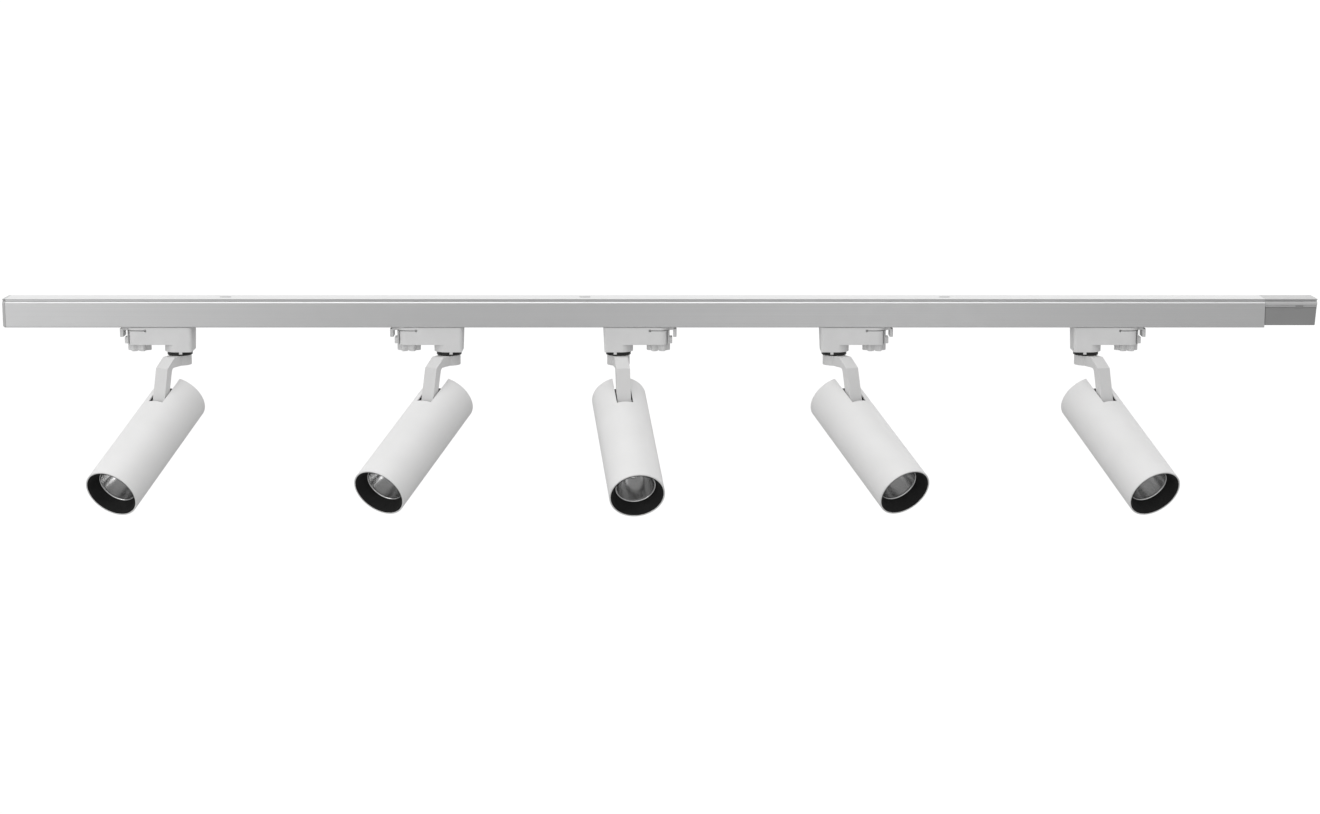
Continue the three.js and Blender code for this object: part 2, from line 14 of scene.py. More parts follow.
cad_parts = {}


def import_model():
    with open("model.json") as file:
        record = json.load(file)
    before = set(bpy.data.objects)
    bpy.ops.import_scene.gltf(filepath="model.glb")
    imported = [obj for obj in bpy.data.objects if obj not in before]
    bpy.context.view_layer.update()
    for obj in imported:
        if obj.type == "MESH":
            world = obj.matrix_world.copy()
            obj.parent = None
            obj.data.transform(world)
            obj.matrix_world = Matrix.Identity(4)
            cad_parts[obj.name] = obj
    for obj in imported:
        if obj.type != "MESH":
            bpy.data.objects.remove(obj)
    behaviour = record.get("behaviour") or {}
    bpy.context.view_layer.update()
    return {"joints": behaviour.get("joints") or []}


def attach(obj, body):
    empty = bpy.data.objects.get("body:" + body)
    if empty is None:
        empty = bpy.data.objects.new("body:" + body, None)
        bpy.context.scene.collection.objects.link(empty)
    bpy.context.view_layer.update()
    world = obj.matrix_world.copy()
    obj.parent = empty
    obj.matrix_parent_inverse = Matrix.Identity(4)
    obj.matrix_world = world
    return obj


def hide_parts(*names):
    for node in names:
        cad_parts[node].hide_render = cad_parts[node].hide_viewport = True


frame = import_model()

# -------------------- driving dimensions, in millimetres

MM = 0.001  # metres in a millimetre
GAP = 0.3
FINE_GAP = 0.1
LAP = 1  # how far a cut or a joined piece runs past what it meets
ACROSS = 20  # further than the track or a housing reaches to either side

LAMP_COUNT = 5
LAMP_TILT = math.radians(60.1)  # each tube's axis, from straight down

RAIL_HALF_LENGTH = 750
RAIL_HALF_WIDTH = 18
RAIL_HEIGHT = 34.4
RAIL_TOP_HALF_WIDTH = 17
RAIL_TOP_LIP = 1
GROOVE_HALF_WIDTH = 14.8
WEB_HALF_WIDTH = 12.8
GROOVE_BOTTOM = 3.2
LEDGE_HALF_WIDTH = 16.4
SHOULDER = 5
WEB = 2.8
WALL = 1.8
LIP = 2.6
MOUTH_HALF_WIDTH = 10.6
GROOVE_DRAFT = 0.3
LEDGE_DRAFT = 0.1
CHANNEL_HAUNCH = 1.4  # height of the slope at the top of the channel's side
SCREW_SLOT_PLACES = (-490, -60, 370)
SCREW_SLOT_LENGTH = 14
SCREW_SLOT_WIDTH = 5

INSULATOR_INNER = 10.9
INSULATOR_TOP = -7.2
INSULATOR_BOTTOM = -27.6
CONDUCTOR_INNER = 12.2
CONDUCTOR_OUTER = 13.9
CONDUCTOR_HALF_HEIGHT = 1.3
CONDUCTOR_CORNER = 0.4
CONDUCTOR_SET_BACK = 2  # from each end of the track
INSULATOR_CORNER = 0.25
CONDUCTOR_HEIGHTS = (-13.5, -22.4)
PLUG_HALF_WIDTH = 9.6
PLUG_TOP = -7.6
PLUG_BOTTOM = -27.2
PLUG_CORNER = 1.2
PLUG_EDGE = 0.5

CAP_THICKNESS = 3
CAP_PLUG_LENGTH = 12
CAP_EDGE = 0.35

FEED_LENGTH = 62
FEED_PLUG_LENGTH = 30
FEED_LEDGE = -9.7
FEED_BOTTOM = -31.7
FEED_CORE_HALF_WIDTH = 15.3
FEED_COVER_HALF_WIDTH = 17.2
FEED_WALL = 1.6
FEED_DRAFT = 2.4
FEED_INLET_RADIUS = 4.5
FEED_EDGE = 0.3
FEED_COVER_CORNER = 1.4
FEED_CHAMBER_HALF_WIDTH = 12.5
FEED_CHAMBER_FROM = 12  # from the feed's inner end
FEED_CHAMBER_FLOOR = 2  # thickness of the core under the chamber
FEED_LINE = -7.7  # a moulding line along the crown
FEED_LINE_HALF_WIDTH = 0.4
FEED_LINE_DEPTH = 0.9
FEED_LEDGE_DRAFT = 0.5
FEED_LINE_RADII = [0.1, 0.1, 0.1, 0.3, 0.3]
TAB_FROM = 26  # the ends of the tab that clips the cover into the crown, back from FEED_END
TAB_TO = 17
TAB_TOP = -8.1
TAB_ROOT = 1.2
TAB_PROUD = 0.5
TAB_EDGE = 0.2
NOTCH_PROUD = 3  # reaches past the crown's side, so that the notch is open there

HOUSING_SWIVEL_END = -17.8
HOUSING_SWIVEL_END_BOTTOM = -16.4
HOUSING_LEVER_END = 61.4
HOUSING_HALF_WIDTH = 17
HOUSING_TOP = -34.7
HOUSING_SWIVEL_CORNER = 5
HOUSING_LEVER_CORNER = 12
HOUSING_EDGE = 0.5
HOUSING_BOTTOM = -55.6
BOSS_RADIUS = 17.6
BOSS_BOTTOM = -64.5
NECK_HALF_WIDTH = 9.4
NECK_TOP = -10
NECK_FROM = -14
NECK_TO = 32
NECK_CORNER = 1.5
NECK_EDGE = 0.4
LATCH_END = 64.6
LATCH_HALF_WIDTH = 8
LATCH_TOP = -47.4
LATCH_BOTTOM = -55
LATCH_ROOT = 6  # how deep in the housing it starts
LATCH_CORNER = 1.5
LATCH_EDGE = 0.4

LEVER_X = 48
LEVER_HEAD_RADIUS = 9.5
LEVER_TOP = -35
LEVER_THICKNESS = 3.6
LEVER_SHADOW_GAP = 0.5  # below the lever's plate and at its inner end
SEAM_WIDTH = 1.1
SEAM_DEPTH = 4.5
SEAM_END_RADIUS = 1.6
SEAM_DROP = 57  # where the seam turns down, just before the lever's end
SEAM_DROP_WIDTH = 2.2
SEAM_DROP_DEPTH = 1.8
INDEX_LUG = (-5.4, -1.6)  # from and to, along X: a lug that hangs from the boss over the ring
INDEX_LUG_BOTTOM = -67.2
INDEX_LUG_SET_BACK = 0.3
INDEX_LUG_EDGE = 0.3
GRIP_INNER = 17.7
GRIP_OUTER = 21.8
GRIP_TOP = -36.9
GRIP_BOTTOM = -47
LEVER_EDGE = 0.5
GRIP_CORNER = 1.6
LEVER_SHAFT_RADIUS = 8.2
LEVER_SHAFT_SET_BACK = 0.2  # below the dogs' tops
DOG_REACH = 14.3
DOG_HALF_WIDTH = 5.5
DOG_TOP = -28.4
DOG_BOTTOM = -31.2
DOG_CORNER = 1.5
DOG_EDGE = 0.4

KNOB_LOBES = 6
KNOB_MEAN_RADIUS = 11.9
KNOB_LOBE_DEPTH = 2.1
KNOB_TOP = -55.9
KNOB_BOTTOM = -64
KNOB_EDGE = 0.8
KNOB_SHAFT_RADIUS = 4.6
KNOB_POINTS_PER_LOBE = 20
POINTER_ENDS = (-10.5, 7)  # from the knob's axis
POINTER_HALF_WIDTH = 0.9
POINTER_DEPTH = 0.9
POINTER_CORNER = 0.8
POINTER_EDGE = 0.2
BLADE_CORNER = 1.5
BLADE_EDGE = 0.3
BLADE_REACH = 11.8
BLADE_HALF_WIDTH = 2
BLADE_HALF_HEIGHT = 0.9

RING_RADIUS = 15
RING_TOP = -64.8
RING_BOTTOM = -69
RING_GROOVE_HALF_WIDTH = 0.35
RING_GROOVE_DEPTH = 0.5
RING_RADII = [0.3, 0.6, 0.2, 0.2, 0.2, 0.6, 0.3]
STUD_RADIUS = 5
STUD_BORE_RADIUS = 2.8
STUD_HEAD_RADIUS = 8
STUD_HEAD_TOP = -57
STUD_HEAD_THICKNESS = 2.4

ARM_DISC_RADIUS = 13.5
ARM_HALF_WIDTH = 8.25
ARM_TOP = -69.3
ARM_PLATE = 12
ARM_CHAMFER_REACH = 25
ARM_LEG_TOP = (35.5, -80.2)
ARM_LEG_THICKNESS = 10
ARM_INSIDE_RADIUS = 5
ARM_OUTSIDE_RADIUS = 0.8
ARM_EDGE = 0.55
STUD_HEAD_EDGE = 0.4
BARREL_RADIUS = 7.5
PIN_RADIUS = 2.2
PIN_HALF_LENGTH = 14.2
PIN_EDGE = 0.4
PIN_SOCKET_RADIUS = 1.1
PIN_SOCKET_DEPTH = 1.6

TUBE_RADIUS = 32.5
TUBE_WALL = 1.6
TUBE_LENGTH = 176
PIVOT_FROM_AXIS = 24
PIVOT_FROM_REAR = 36
SLOT_HALF_WIDTH = 9.8
SLOT_END = 45.4
SLOT_FLOOR = 15.9
SLOT_CORNER = 0.8
SLOT_RUN_OUT = 5  # past the tube's rear end and its wall
TUBE_EDGE = 0.25
TUBE_RIM_RADII = [0.25, 0.5, 0.5, 0.25]
INSIDE_RADIUS = TUBE_RADIUS - TUBE_WALL
FIT_RADIUS = INSIDE_RADIUS - GAP

BAFFLE_DEPTH = 14.6
BAFFLE_LIP = 1.1
BAFFLE_LIP_DEPTH = 1.5
BAFFLE_INNER_RADIUS = 23.4
BAFFLE_SET_BACK = 0.3
BAFFLE_STEPS = 9
BAFFLE_STEP_TREAD = 0.35  # shares of a step's width and height, to its nose
BAFFLE_STEP_RISE = 0.75
BAFFLE_LIP_SHARE = 0.4
BAFFLE_LIP_DROP = 0.35
BAFFLE_REAR_EDGE = 0.4
BAFFLE_REAR = TUBE_LENGTH - BAFFLE_DEPTH

BOWL_RIM_RADIUS = 22.9
BOWL_BASE_RADIUS = 8.6
BOWL_DEPTH = 29
BOWL_SKIN = 0.9
BOWL_FLANGE = 1.2
BOWL_POWER = 0.6
BOWL_LIP_FROM = 0.94  # the share of the depth where the rim starts to flare
BOWL_LIP_FLARE = 0.8  # how much narrower the inside would be at full depth without the flare
BOWL_LIP_STEPS = 6
BOWL_STEPS = 24
BOWL_CROWDING = 1.6  # over 1, the steps are shorter near the light source
BOWL_RIM = BAFFLE_REAR - GAP
BOWL_BASE = BOWL_RIM - BOWL_DEPTH

COVER_FROM = 1
COVER_TO = 4
COVER_RIM_WIDTH = 3
COVER_RECESS = 0.8
COVER_RECESS_FOOT = 1.5
COVER_RECESS_HEAD = 0.7
COVER_RADII = [0, 0.3, 0.3, 0.5, 0, 0]
COVER_SCREWS = ((12, 14), (12, -14))
COVER_SCREW_RADIUS = 2.6
COVER_SCREW_DEPTH = 1.6
FIN_EDGE = 0.3
EAR_DEPTH = 48.3
EAR_FLOOR = 12.4
SPINE_HALF_WIDTH = 8
SPINE_THICKNESS = 4
FIN_DEPTH = 17
SEAT_THICKNESS = 6
FINS = 6
FIN_GAP = 7
HUB_RADIUS = 17
SEAT_FRONT = BOWL_BASE - GAP
SEAT_REAR = SEAT_FRONT - SEAT_THICKNESS

LED_HALF_WIDTH = 5.7
LED_THICKNESS = 1
LED_CORNER = 0.6
LED_EDGE = 0.12
PHOSPHOR_RADIUS = 4.6
PHOSPHOR_SIDE = 0.4
PHOSPHOR_CROWN = 0.35
PHOSPHOR_ANGLES = (0.5, 0.9, 1.2)

# -------------------- outlines

STRAIGHT = math.radians(88)  # half of a corner's angle
ARC_SHARE = 0.49


def circle(radius, segments, centre=(0, 0)):
    """The points of a circle."""
    angles = [2 * math.pi * i / segments for i in range(segments)]
    return [(centre[0] + radius * math.cos(a), centre[1] + radius * math.sin(a)) for a in angles]


def rounded(points, radii, steps=5):
    """A closed outline with an arc at each corner; radii is one radius, or one for each corner. An
    arc takes no more than its share of a side, and a nearly straight corner stays as it is."""
    if not hasattr(radii, "__len__"):
        radii = [radii] * len(points)
    result = []
    for i, radius in enumerate(radii):
        corner = Vector(points[i])
        back = Vector(points[i - 1]) - corner
        ahead = Vector(points[(i + 1) % len(points)]) - corner
        half = back.angle(ahead) / 2
        if radius == 0 or half > STRAIGHT:
            result.append(tuple(corner))
            continue
        reach = min(radius / math.tan(half), ARC_SHARE * min(back.length, ahead.length))
        radius = reach * math.tan(half)
        centre = corner + (back.normalized() + ahead.normalized()).normalized() * radius / math.sin(half)
        start = corner + back.normalized() * reach - centre
        end = corner + ahead.normalized() * reach - centre
        first = math.atan2(start.y, start.x)
        sweep = (math.atan2(end.y, end.x) - first + math.pi) % (2 * math.pi) - math.pi
        for k in range(steps + 1):
            angle = first + sweep * k / steps
            result.append((centre.x + radius * math.cos(angle), centre.y + radius * math.sin(angle)))
    return result


def rectangle(x0, x1, y0, y1):
    return [(x0, y0), (x1, y0), (x1, y1), (x0, y1)]


def band(x0, x1, half_width):
    """A rectangle centred on the X axis."""
    return rectangle(x0, x1, -half_width, half_width)


def mirrored(half):
    """A whole outline from its half on the positive side, listed from the top down."""
    return list(half) + [(-x, y) for x, y in reversed(half)]


# -------------------- solids

AXIS_ORDER = {
    "x": lambda u, v, w: (w, u, v),
    "y": lambda u, v, w: (u, w, v),
    "z": lambda u, v, w: (u, v, w),
}
SAME_POINT = 1e-5
DEGENERATE = 1e-3
SHORTEST_EDGE = 0.02
FLAT_ANGLE = math.radians(0.5)
SHARP_ANGLE = math.radians(50)


def new_object(name, data):
    obj = bpy.data.objects.new(name, data)
    bpy.context.scene.collection.objects.link(obj)
    return obj


def solid(bm):
    """A working object of a closed bmesh."""
    bmesh.ops.remove_doubles(bm, verts=bm.verts, dist=SAME_POINT)
    bmesh.ops.recalc_face_normals(bm, faces=bm.faces)
    mesh = bpy.data.meshes.new("work")
    bm.to_mesh(mesh)
    bm.free()
    return new_object("work", mesh)


def prism(points, low, high, axis="z"):
    """An outline carried along an axis: drawn in XY for z, in XZ for y and in YZ for x."""
    bm = bmesh.new()
    order = AXIS_ORDER[axis]
    rings = [[bm.verts.new(order(u, v, w)) for u, v in points] for w in (low, high)]
    for ring in rings:
        bm.faces.new(ring)
    for i in range(len(points)):
        j = (i + 1) % len(points)
        bm.faces.new([rings[0][i], rings[0][j], rings[1][j], rings[1][i]])
    return solid(bm)


def turned(profile, segments):
    """A closed profile of (radius, height) points, turned about the Z axis."""
    bm = bmesh.new()
    rings = []
    for i in range(segments):
        angle = 2 * math.pi * i / segments
        rings.append([bm.verts.new((r * math.cos(angle), r * math.sin(angle), z)) for r, z in profile])
    for i, ring in enumerate(rings):
        after = rings[(i + 1) % segments]
        for k in range(len(profile)):
            m = (k + 1) % len(profile)
            if profile[k][0] == 0 and profile[m][0] == 0:
                continue
            bm.faces.new([ring[k], after[k], after[m], ring[m]])
    return solid(bm)


def box(x0, x1, y0, y1, z0, z1):
    return prism(rectangle(x0, x1, y0, y1), z0, z1)


def slab(x0, x1, half_width, z0, z1):
    """A box centred on the X axis."""
    return prism(band(x0, x1, half_width), z0, z1)


def post(radius, z0, z1, segments=48, centre=(0, 0)):
    return prism(circle(radius, segments, centre), z0, z1)


def rod(radius, y0, y1, x, z, segments=32):
    return prism(circle(radius, segments, (x, z)), y0, y1, "y")


def settled(obj):
    """Applies an object's modifiers."""
    graph = bpy.context.evaluated_depsgraph_get()
    mesh = bpy.data.meshes.new_from_object(obj.evaluated_get(graph))
    before = obj.data
    obj.modifiers.clear()
    obj.data = mesh
    bpy.data.meshes.remove(before)
    return obj


def combined(first, others, operation):
    for other in others:
        modifier = first.modifiers.new("combine", "BOOLEAN")
        modifier.operation = operation
        modifier.solver = "MANIFOLD"
        modifier.object = other
    settled(first)
    for other in others:
        bpy.data.objects.remove(other)
    return first


def join(first, *others):
    return combined(first, others, "UNION")


def cut(first, *others):
    return combined(first, others, "DIFFERENCE")


def common(first, *others):
    return combined(first, others, "INTERSECT")


def softened(obj, width, steps=2, sharper_than=30):
    """Merges vertices that nearly touch and faces that are flat together, then rounds the edges
    sharper than an angle in degrees."""
    bm = bmesh.new()
    bm.from_mesh(obj.data)
    bmesh.ops.remove_doubles(bm, verts=bm.verts, dist=SHORTEST_EDGE)
    bmesh.ops.dissolve_limit(bm, angle_limit=FLAT_ANGLE, verts=bm.verts, edges=bm.edges)
    bm.to_mesh(obj.data)
    bm.free()
    bevel = obj.modifiers.new("soften", "BEVEL")
    bevel.width = width
    bevel.segments = steps
    bevel.limit_method = "ANGLE"
    bevel.angle_limit = math.radians(sharper_than)
    return settled(obj)


def finished(obj, material, name):
    """The object's mesh in metres, with no face of more than four corners, smoothly shaded and with
    its material. The object is removed."""
    bm = bmesh.new()
    bm.from_mesh(obj.data)
    bmesh.ops.dissolve_degenerate(bm, edges=bm.edges, dist=DEGENERATE)
    many_sided = [face for face in bm.faces if len(face.verts) > 4]
    bmesh.ops.triangulate(bm, faces=many_sided, quad_method="BEAUTY", ngon_method="BEAUTY")
    bm.to_mesh(obj.data)
    bm.free()
    shade = obj.modifiers.new("shade", "WEIGHTED_NORMAL")
    shade.keep_sharp = True
    obj.data.shade_smooth()
    obj.data.set_sharp_from_angle(angle=SHARP_ANGLE)
    settled(obj)
    mesh = obj.data
    mesh.transform(Matrix.Scale(MM, 4))
    mesh.name = name
    mesh.materials.clear()
    mesh.materials.append(material)
    bpy.data.objects.remove(obj)
    return mesh


def placed(mesh, name, body, place=Matrix.Identity(4), replaces=()):
    """Puts a copy of a finished mesh in the frame, riding on a body and standing for CAD nodes."""
    mesh = mesh.copy()
    mesh.transform(place)
    obj = new_object(name, mesh)
    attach(obj, body)
    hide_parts(*replaces)


# -------------------- material nodes

NOISE_LOW = 0.3  # where a source's range of tones or roughness starts and ends
NOISE_HIGH = 0.7


def fill(node, values):
    """Sets a node's inputs by the names of their sockets."""
    for socket, value in values.items():
        node.inputs[socket].default_value = value


class Surface:
    """A principled material with helpers for its procedural detail."""

    def __init__(self, name, colour, roughness, metallic=0.0, specular=0.5):
        self.material = bpy.data.materials.new(name)
        self.material.use_nodes = True
        self.tree = self.material.node_tree
        self.shader = self.tree.nodes["Principled BSDF"]
        fill(self.shader, {"Base Color": (*colour, 1), "Roughness": roughness})
        fill(self.shader, {"Metallic": metallic, "Specular IOR Level": specular})
        self.place = self.tree.nodes.new("ShaderNodeTexCoord").outputs["Object"]

    def link(self, source, target):
        self.tree.links.new(source, target)

    def noise(self, per_metre, detail=3, stretch=(1, 1, 1)):
        """Noise with this many features to a metre, finer along the axes with a higher stretch."""
        mapping = self.tree.nodes.new("ShaderNodeMapping")
        fill(mapping, {"Scale": stretch})
        self.link(self.place, mapping.inputs["Vector"])
        noise = self.tree.nodes.new("ShaderNodeTexNoise")
        fill(noise, {"Scale": per_metre, "Detail": detail})
        self.link(mapping.outputs["Vector"], noise.inputs["Vector"])
        return noise.outputs["Fac"]

    def tones(self, source, dark, light):
        """The base colour runs from dark to light as the source runs from NOISE_LOW to NOISE_HIGH."""
        ramp = self.tree.nodes.new("ShaderNodeValToRGB")
        ends = zip(ramp.color_ramp.elements, (NOISE_LOW, NOISE_HIGH), (dark, light))
        for element, position, colour in ends:
            element.position = position
            element.color = (*colour, 1)
        self.link(source, ramp.inputs["Fac"])
        self.link(ramp.outputs["Color"], self.shader.inputs["Base Color"])

    def sheen(self, source, low, high):
        """The roughness runs from low to high as the source runs from NOISE_LOW to NOISE_HIGH."""
        spread = self.tree.nodes.new("ShaderNodeMapRange")
        fill(spread, {"From Min": NOISE_LOW, "From Max": NOISE_HIGH, "To Min": low, "To Max": high})
        self.link(source, spread.inputs["Value"])
        self.link(spread.outputs["Result"], self.shader.inputs["Roughness"])

    def relief(self, source, height_mm, strength=1.0):
        """Bumps of this height; several calls add up."""
        bump = self.tree.nodes.new("ShaderNodeBump")
        fill(bump, {"Strength": strength, "Distance": height_mm * MM})
        self.link(source, bump.inputs["Height"])
        links = self.shader.inputs["Normal"].links
        if links:
            self.link(links[0].from_socket, bump.inputs["Normal"])
        self.link(bump.outputs["Normal"], self.shader.inputs["Normal"])


def grey(value, warmth=0.0):
    return (value * (1 + warmth), value, value * (1 - warmth))


def anodised_aluminium():
    """Satin anodising over the fine lines that the extrusion die leaves along X."""
    s = Surface("anodised_aluminium", grey(0.6), 0.42, metallic=0.85)
    lines = s.noise(2600, detail=2, stretch=(0.001, 1, 1))
    s.tones(lines, grey(0.655, -0.002), grey(0.69, -0.002))
    s.sheen(s.noise(60, detail=4), 0.33, 0.38)
    s.relief(lines, 0.006, 0.25)
    s.relief(s.noise(4200, detail=1), 0.006, 0.25)
    return s.material


def moulded_plastic(name, tone, warmth=0.0, roughness=0.5):
    """Spark-eroded mould texture with faint flow mottling."""
    s = Surface(name, grey(tone, warmth), roughness, specular=0.4)
    s.tones(s.noise(45, detail=3), grey(tone * 0.97, warmth), grey(tone * 1.03, warmth))
    s.sheen(s.noise(1600, detail=2), roughness - 0.05, roughness + 0.06)
    s.relief(s.noise(3200, detail=2), 0.02, 0.4)
    return s.material


def powder_coat(name, tone):
    """White powder coat: a slight orange peel under a fine grain."""
    s = Surface(name, grey(tone), 0.48, specular=0.35)
    s.tones(s.noise(30, detail=3), grey(tone - 0.012, 0.003), grey(tone + 0.012, 0.003))
    s.sheen(s.noise(700, detail=2), 0.43, 0.53)
    s.relief(s.noise(620, detail=1), 0.05, 0.22)
    s.relief(s.noise(3600, detail=2), 0.012, 0.3)
    return s.material


def matt_black():
    s = Surface("matt_black", grey(0.014), 0.75, specular=0.25)
    s.tones(s.noise(80, detail=3), grey(0.011), grey(0.018))
    s.sheen(s.noise(1500, detail=2), 0.68, 0.84)
    s.relief(s.noise(3000, detail=2), 0.02, 0.5)
    return s.material


def polished_aluminium():
    """Vacuum-bright reflector, faintly uneven from spinning."""
    s = Surface("polished_aluminium", grey(0.68), 0.19, metallic=1.0)
    s.sheen(s.noise(120, detail=2), 0.15, 0.23)
    s.tones(s.noise(60, detail=2), grey(0.64), grey(0.72))
    s.relief(s.noise(40, detail=1), 0.1, 0.3)
    return s.material


# The casting is coloured near-black: painted shade for the hollow that shows through the arm's slot in
# the tube.
def cast_aluminium():
    s = Surface("cast_aluminium", grey(0.016), 0.6, metallic=0.2)
    s.tones(s.noise(120, detail=4), grey(0.013), grey(0.022))
    s.sheen(s.noise(500, detail=3), 0.48, 0.68)
    s.relief(s.noise(1100, detail=3), 0.06, 0.5)
    return s.material


def ground_steel():
    s = Surface("ground_steel", grey(0.5), 0.32, metallic=1.0)
    s.tones(s.noise(300, detail=2, stretch=(1, 0.1, 1)), grey(0.44), grey(0.56))
    s.sheen(s.noise(900, detail=2, stretch=(1, 0.05, 1)), 0.26, 0.4)
    return s.material


def drawn_copper():
    s = Surface("drawn_copper", (0.72, 0.35, 0.2), 0.33, metallic=1.0)
    lines = s.noise(900, detail=2, stretch=(0.01, 1, 1))
    s.tones(lines, (0.6, 0.27, 0.15), (0.78, 0.4, 0.24))
    s.sheen(s.noise(90, detail=3), 0.27, 0.42)
    s.relief(lines, 0.01, 0.3)
    return s.material


def phosphor_gel():
    s = Surface("phosphor_gel", (0.8, 0.55, 0.06), 0.55)
    s.tones(s.noise(2500, detail=3), (0.72, 0.46, 0.04), (0.86, 0.62, 0.1))
    s.relief(s.noise(1800, detail=1), 0.02, 0.4)
    return s.material


# -------------------- track


def rail_side_points():
    """The outside of the track's section, from the edge of its top face down to the mouth."""
    return [
        (RAIL_TOP_HALF_WIDTH, 0),
        (RAIL_TOP_HALF_WIDTH, -RAIL_TOP_LIP),
        (GROOVE_HALF_WIDTH, -RAIL_TOP_LIP - GROOVE_DRAFT),
        (GROOVE_HALF_WIDTH, -GROOVE_BOTTOM),
        (LEDGE_HALF_WIDTH, -GROOVE_BOTTOM - LEDGE_DRAFT),
        (RAIL_HALF_WIDTH, -SHOULDER),
        (RAIL_HALF_WIDTH, -RAIL_HEIGHT),
    ]


RAIL_SIDE_RADII = [0.3, 0.25, 0.2, 0.3, 0.8, 1.5, 1.1]
RAIL_INSIDE_RADII = [0.5, 0.3, 0.4, 0.4, 0.3, 0.5]


def rail_section():
    inner = RAIL_HALF_WIDTH - WALL
    inside = [
        (MOUTH_HALF_WIDTH, -RAIL_HEIGHT),
        (MOUTH_HALF_WIDTH, -RAIL_HEIGHT + LIP),
        (inner, -RAIL_HEIGHT + LIP),
        (inner, -SHOULDER - CHANNEL_HAUNCH),
        (WEB_HALF_WIDTH, -SHOULDER),
        (WEB_HALF_WIDTH, -WEB),
    ]
    radii = RAIL_SIDE_RADII + RAIL_INSIDE_RADII
    return rounded(mirrored(rail_side_points() + inside), radii + radii[::-1], steps=3)


def rail_mesh(material):
    rail = prism(rail_section(), -RAIL_HALF_LENGTH, RAIL_HALF_LENGTH, "x")
    half_length = SCREW_SLOT_LENGTH / 2
    half_width = SCREW_SLOT_WIDTH / 2
    slots = []
    for x in SCREW_SLOT_PLACES:
        plan = band(x - half_length, x + half_length, half_width)
        slots.append(prism(rounded(plan, half_width, steps=8), -WEB - LAP, LAP))
    return finished(cut(rail, *slots), material, "rail")


def insulator_mesh(side, material):
    """The strip on one side of the channel; side is 1 at +Y."""
    wall = RAIL_HALF_WIDTH - WALL - GAP
    back = CONDUCTOR_OUTER + FINE_GAP
    section = [
        (INSULATOR_INNER, INSULATOR_TOP),
        (wall, INSULATOR_TOP),
        (wall, INSULATOR_BOTTOM),
        (INSULATOR_INNER, INSULATOR_BOTTOM),
    ]
    for z in reversed(CONDUCTOR_HEIGHTS):
        low = z - CONDUCTOR_HALF_HEIGHT - FINE_GAP
        high = z + CONDUCTOR_HALF_HEIGHT + FINE_GAP
        section += [(INSULATOR_INNER, low), (back, low), (back, high), (INSULATOR_INNER, high)]
    placed_section = [(side * y, z) for y, z in rounded(section, INSULATOR_CORNER, steps=2)]
    strip = prism(placed_section, -RAIL_HALF_LENGTH, RAIL_HALF_LENGTH, "x")
    return finished(strip, material, "insulator")


def conductor_mesh(side, z, material):
    section = rectangle(
        side * CONDUCTOR_INNER,
        side * CONDUCTOR_OUTER,
        z - CONDUCTOR_HALF_HEIGHT,
        z + CONDUCTOR_HALF_HEIGHT,
    )
    end = RAIL_HALF_LENGTH - CONDUCTOR_SET_BACK
    bar = prism(rounded(section, CONDUCTOR_CORNER, steps=3), -end, end, "x")
    return finished(bar, material, "conductor")


def channel_plug(x0, x1):
    section = rectangle(-PLUG_HALF_WIDTH, PLUG_HALF_WIDTH, PLUG_BOTTOM, PLUG_TOP)
    return prism(rounded(section, PLUG_CORNER), x0, x1, "x")


def end_cap_mesh(material):
    inner = -RAIL_HALF_LENGTH - GAP
    outer = inner - CAP_THICKNESS
    section = rounded(mirrored(rail_side_points()), RAIL_SIDE_RADII + RAIL_SIDE_RADII[::-1], steps=3)
    plate = prism(section, outer, inner, "x")
    side = rectangle(outer, inner + CAP_PLUG_LENGTH, -RAIL_HEIGHT, 2 * LAP)
    corner = prism(rounded(side, [CAP_THICKNESS, 0, 0, 0], steps=8), -ACROSS, ACROSS, "y")
    cap = softened(common(plate, corner), CAP_EDGE)
    plug = softened(channel_plug(inner - LAP, inner + CAP_PLUG_LENGTH), PLUG_EDGE)
    return finished(join(cap, plug), material, "end_cap")


# -------------------- feed

FEED_START = RAIL_HALF_LENGTH + GAP
FEED_END = FEED_START + FEED_LENGTH
INLET_HEIGHT = (FEED_LEDGE + FEED_BOTTOM) / 2


def feed_end_trim():
    """What lies beyond the feed's slanted end."""
    beyond = FEED_END + ACROSS
    low = -RAIL_HEIGHT
    points = [(FEED_END, LAP), (beyond, LAP), (beyond, low), (FEED_END - FEED_DRAFT, low)]
    return prism(points, -ACROSS, ACROSS, "y")


def feed_inlet(radius):
    return prism(circle(radius, 40, (0, INLET_HEIGHT)), FEED_END - ACROSS, FEED_END + LAP, "x")


def latch_tab(clearance):
    """The tab on the cover's front and rear, or the open notch for it when it has a clearance."""
    x0 = FEED_END - TAB_FROM - clearance
    x1 = FEED_END - TAB_TO + clearance
    proud = TAB_PROUD if clearance == 0 else NOTCH_PROUD
    tabs = []
    for side in (-1, 1):
        inner = side * (FEED_COVER_HALF_WIDTH - TAB_ROOT - clearance)
        outer = side * (FEED_COVER_HALF_WIDTH + clearance + proud)
        y0, y1 = sorted((inner, outer))
        tabs.append(box(x0, x1, y0, y1, FEED_LEDGE - LAP, TAB_TOP + clearance))
    return tabs


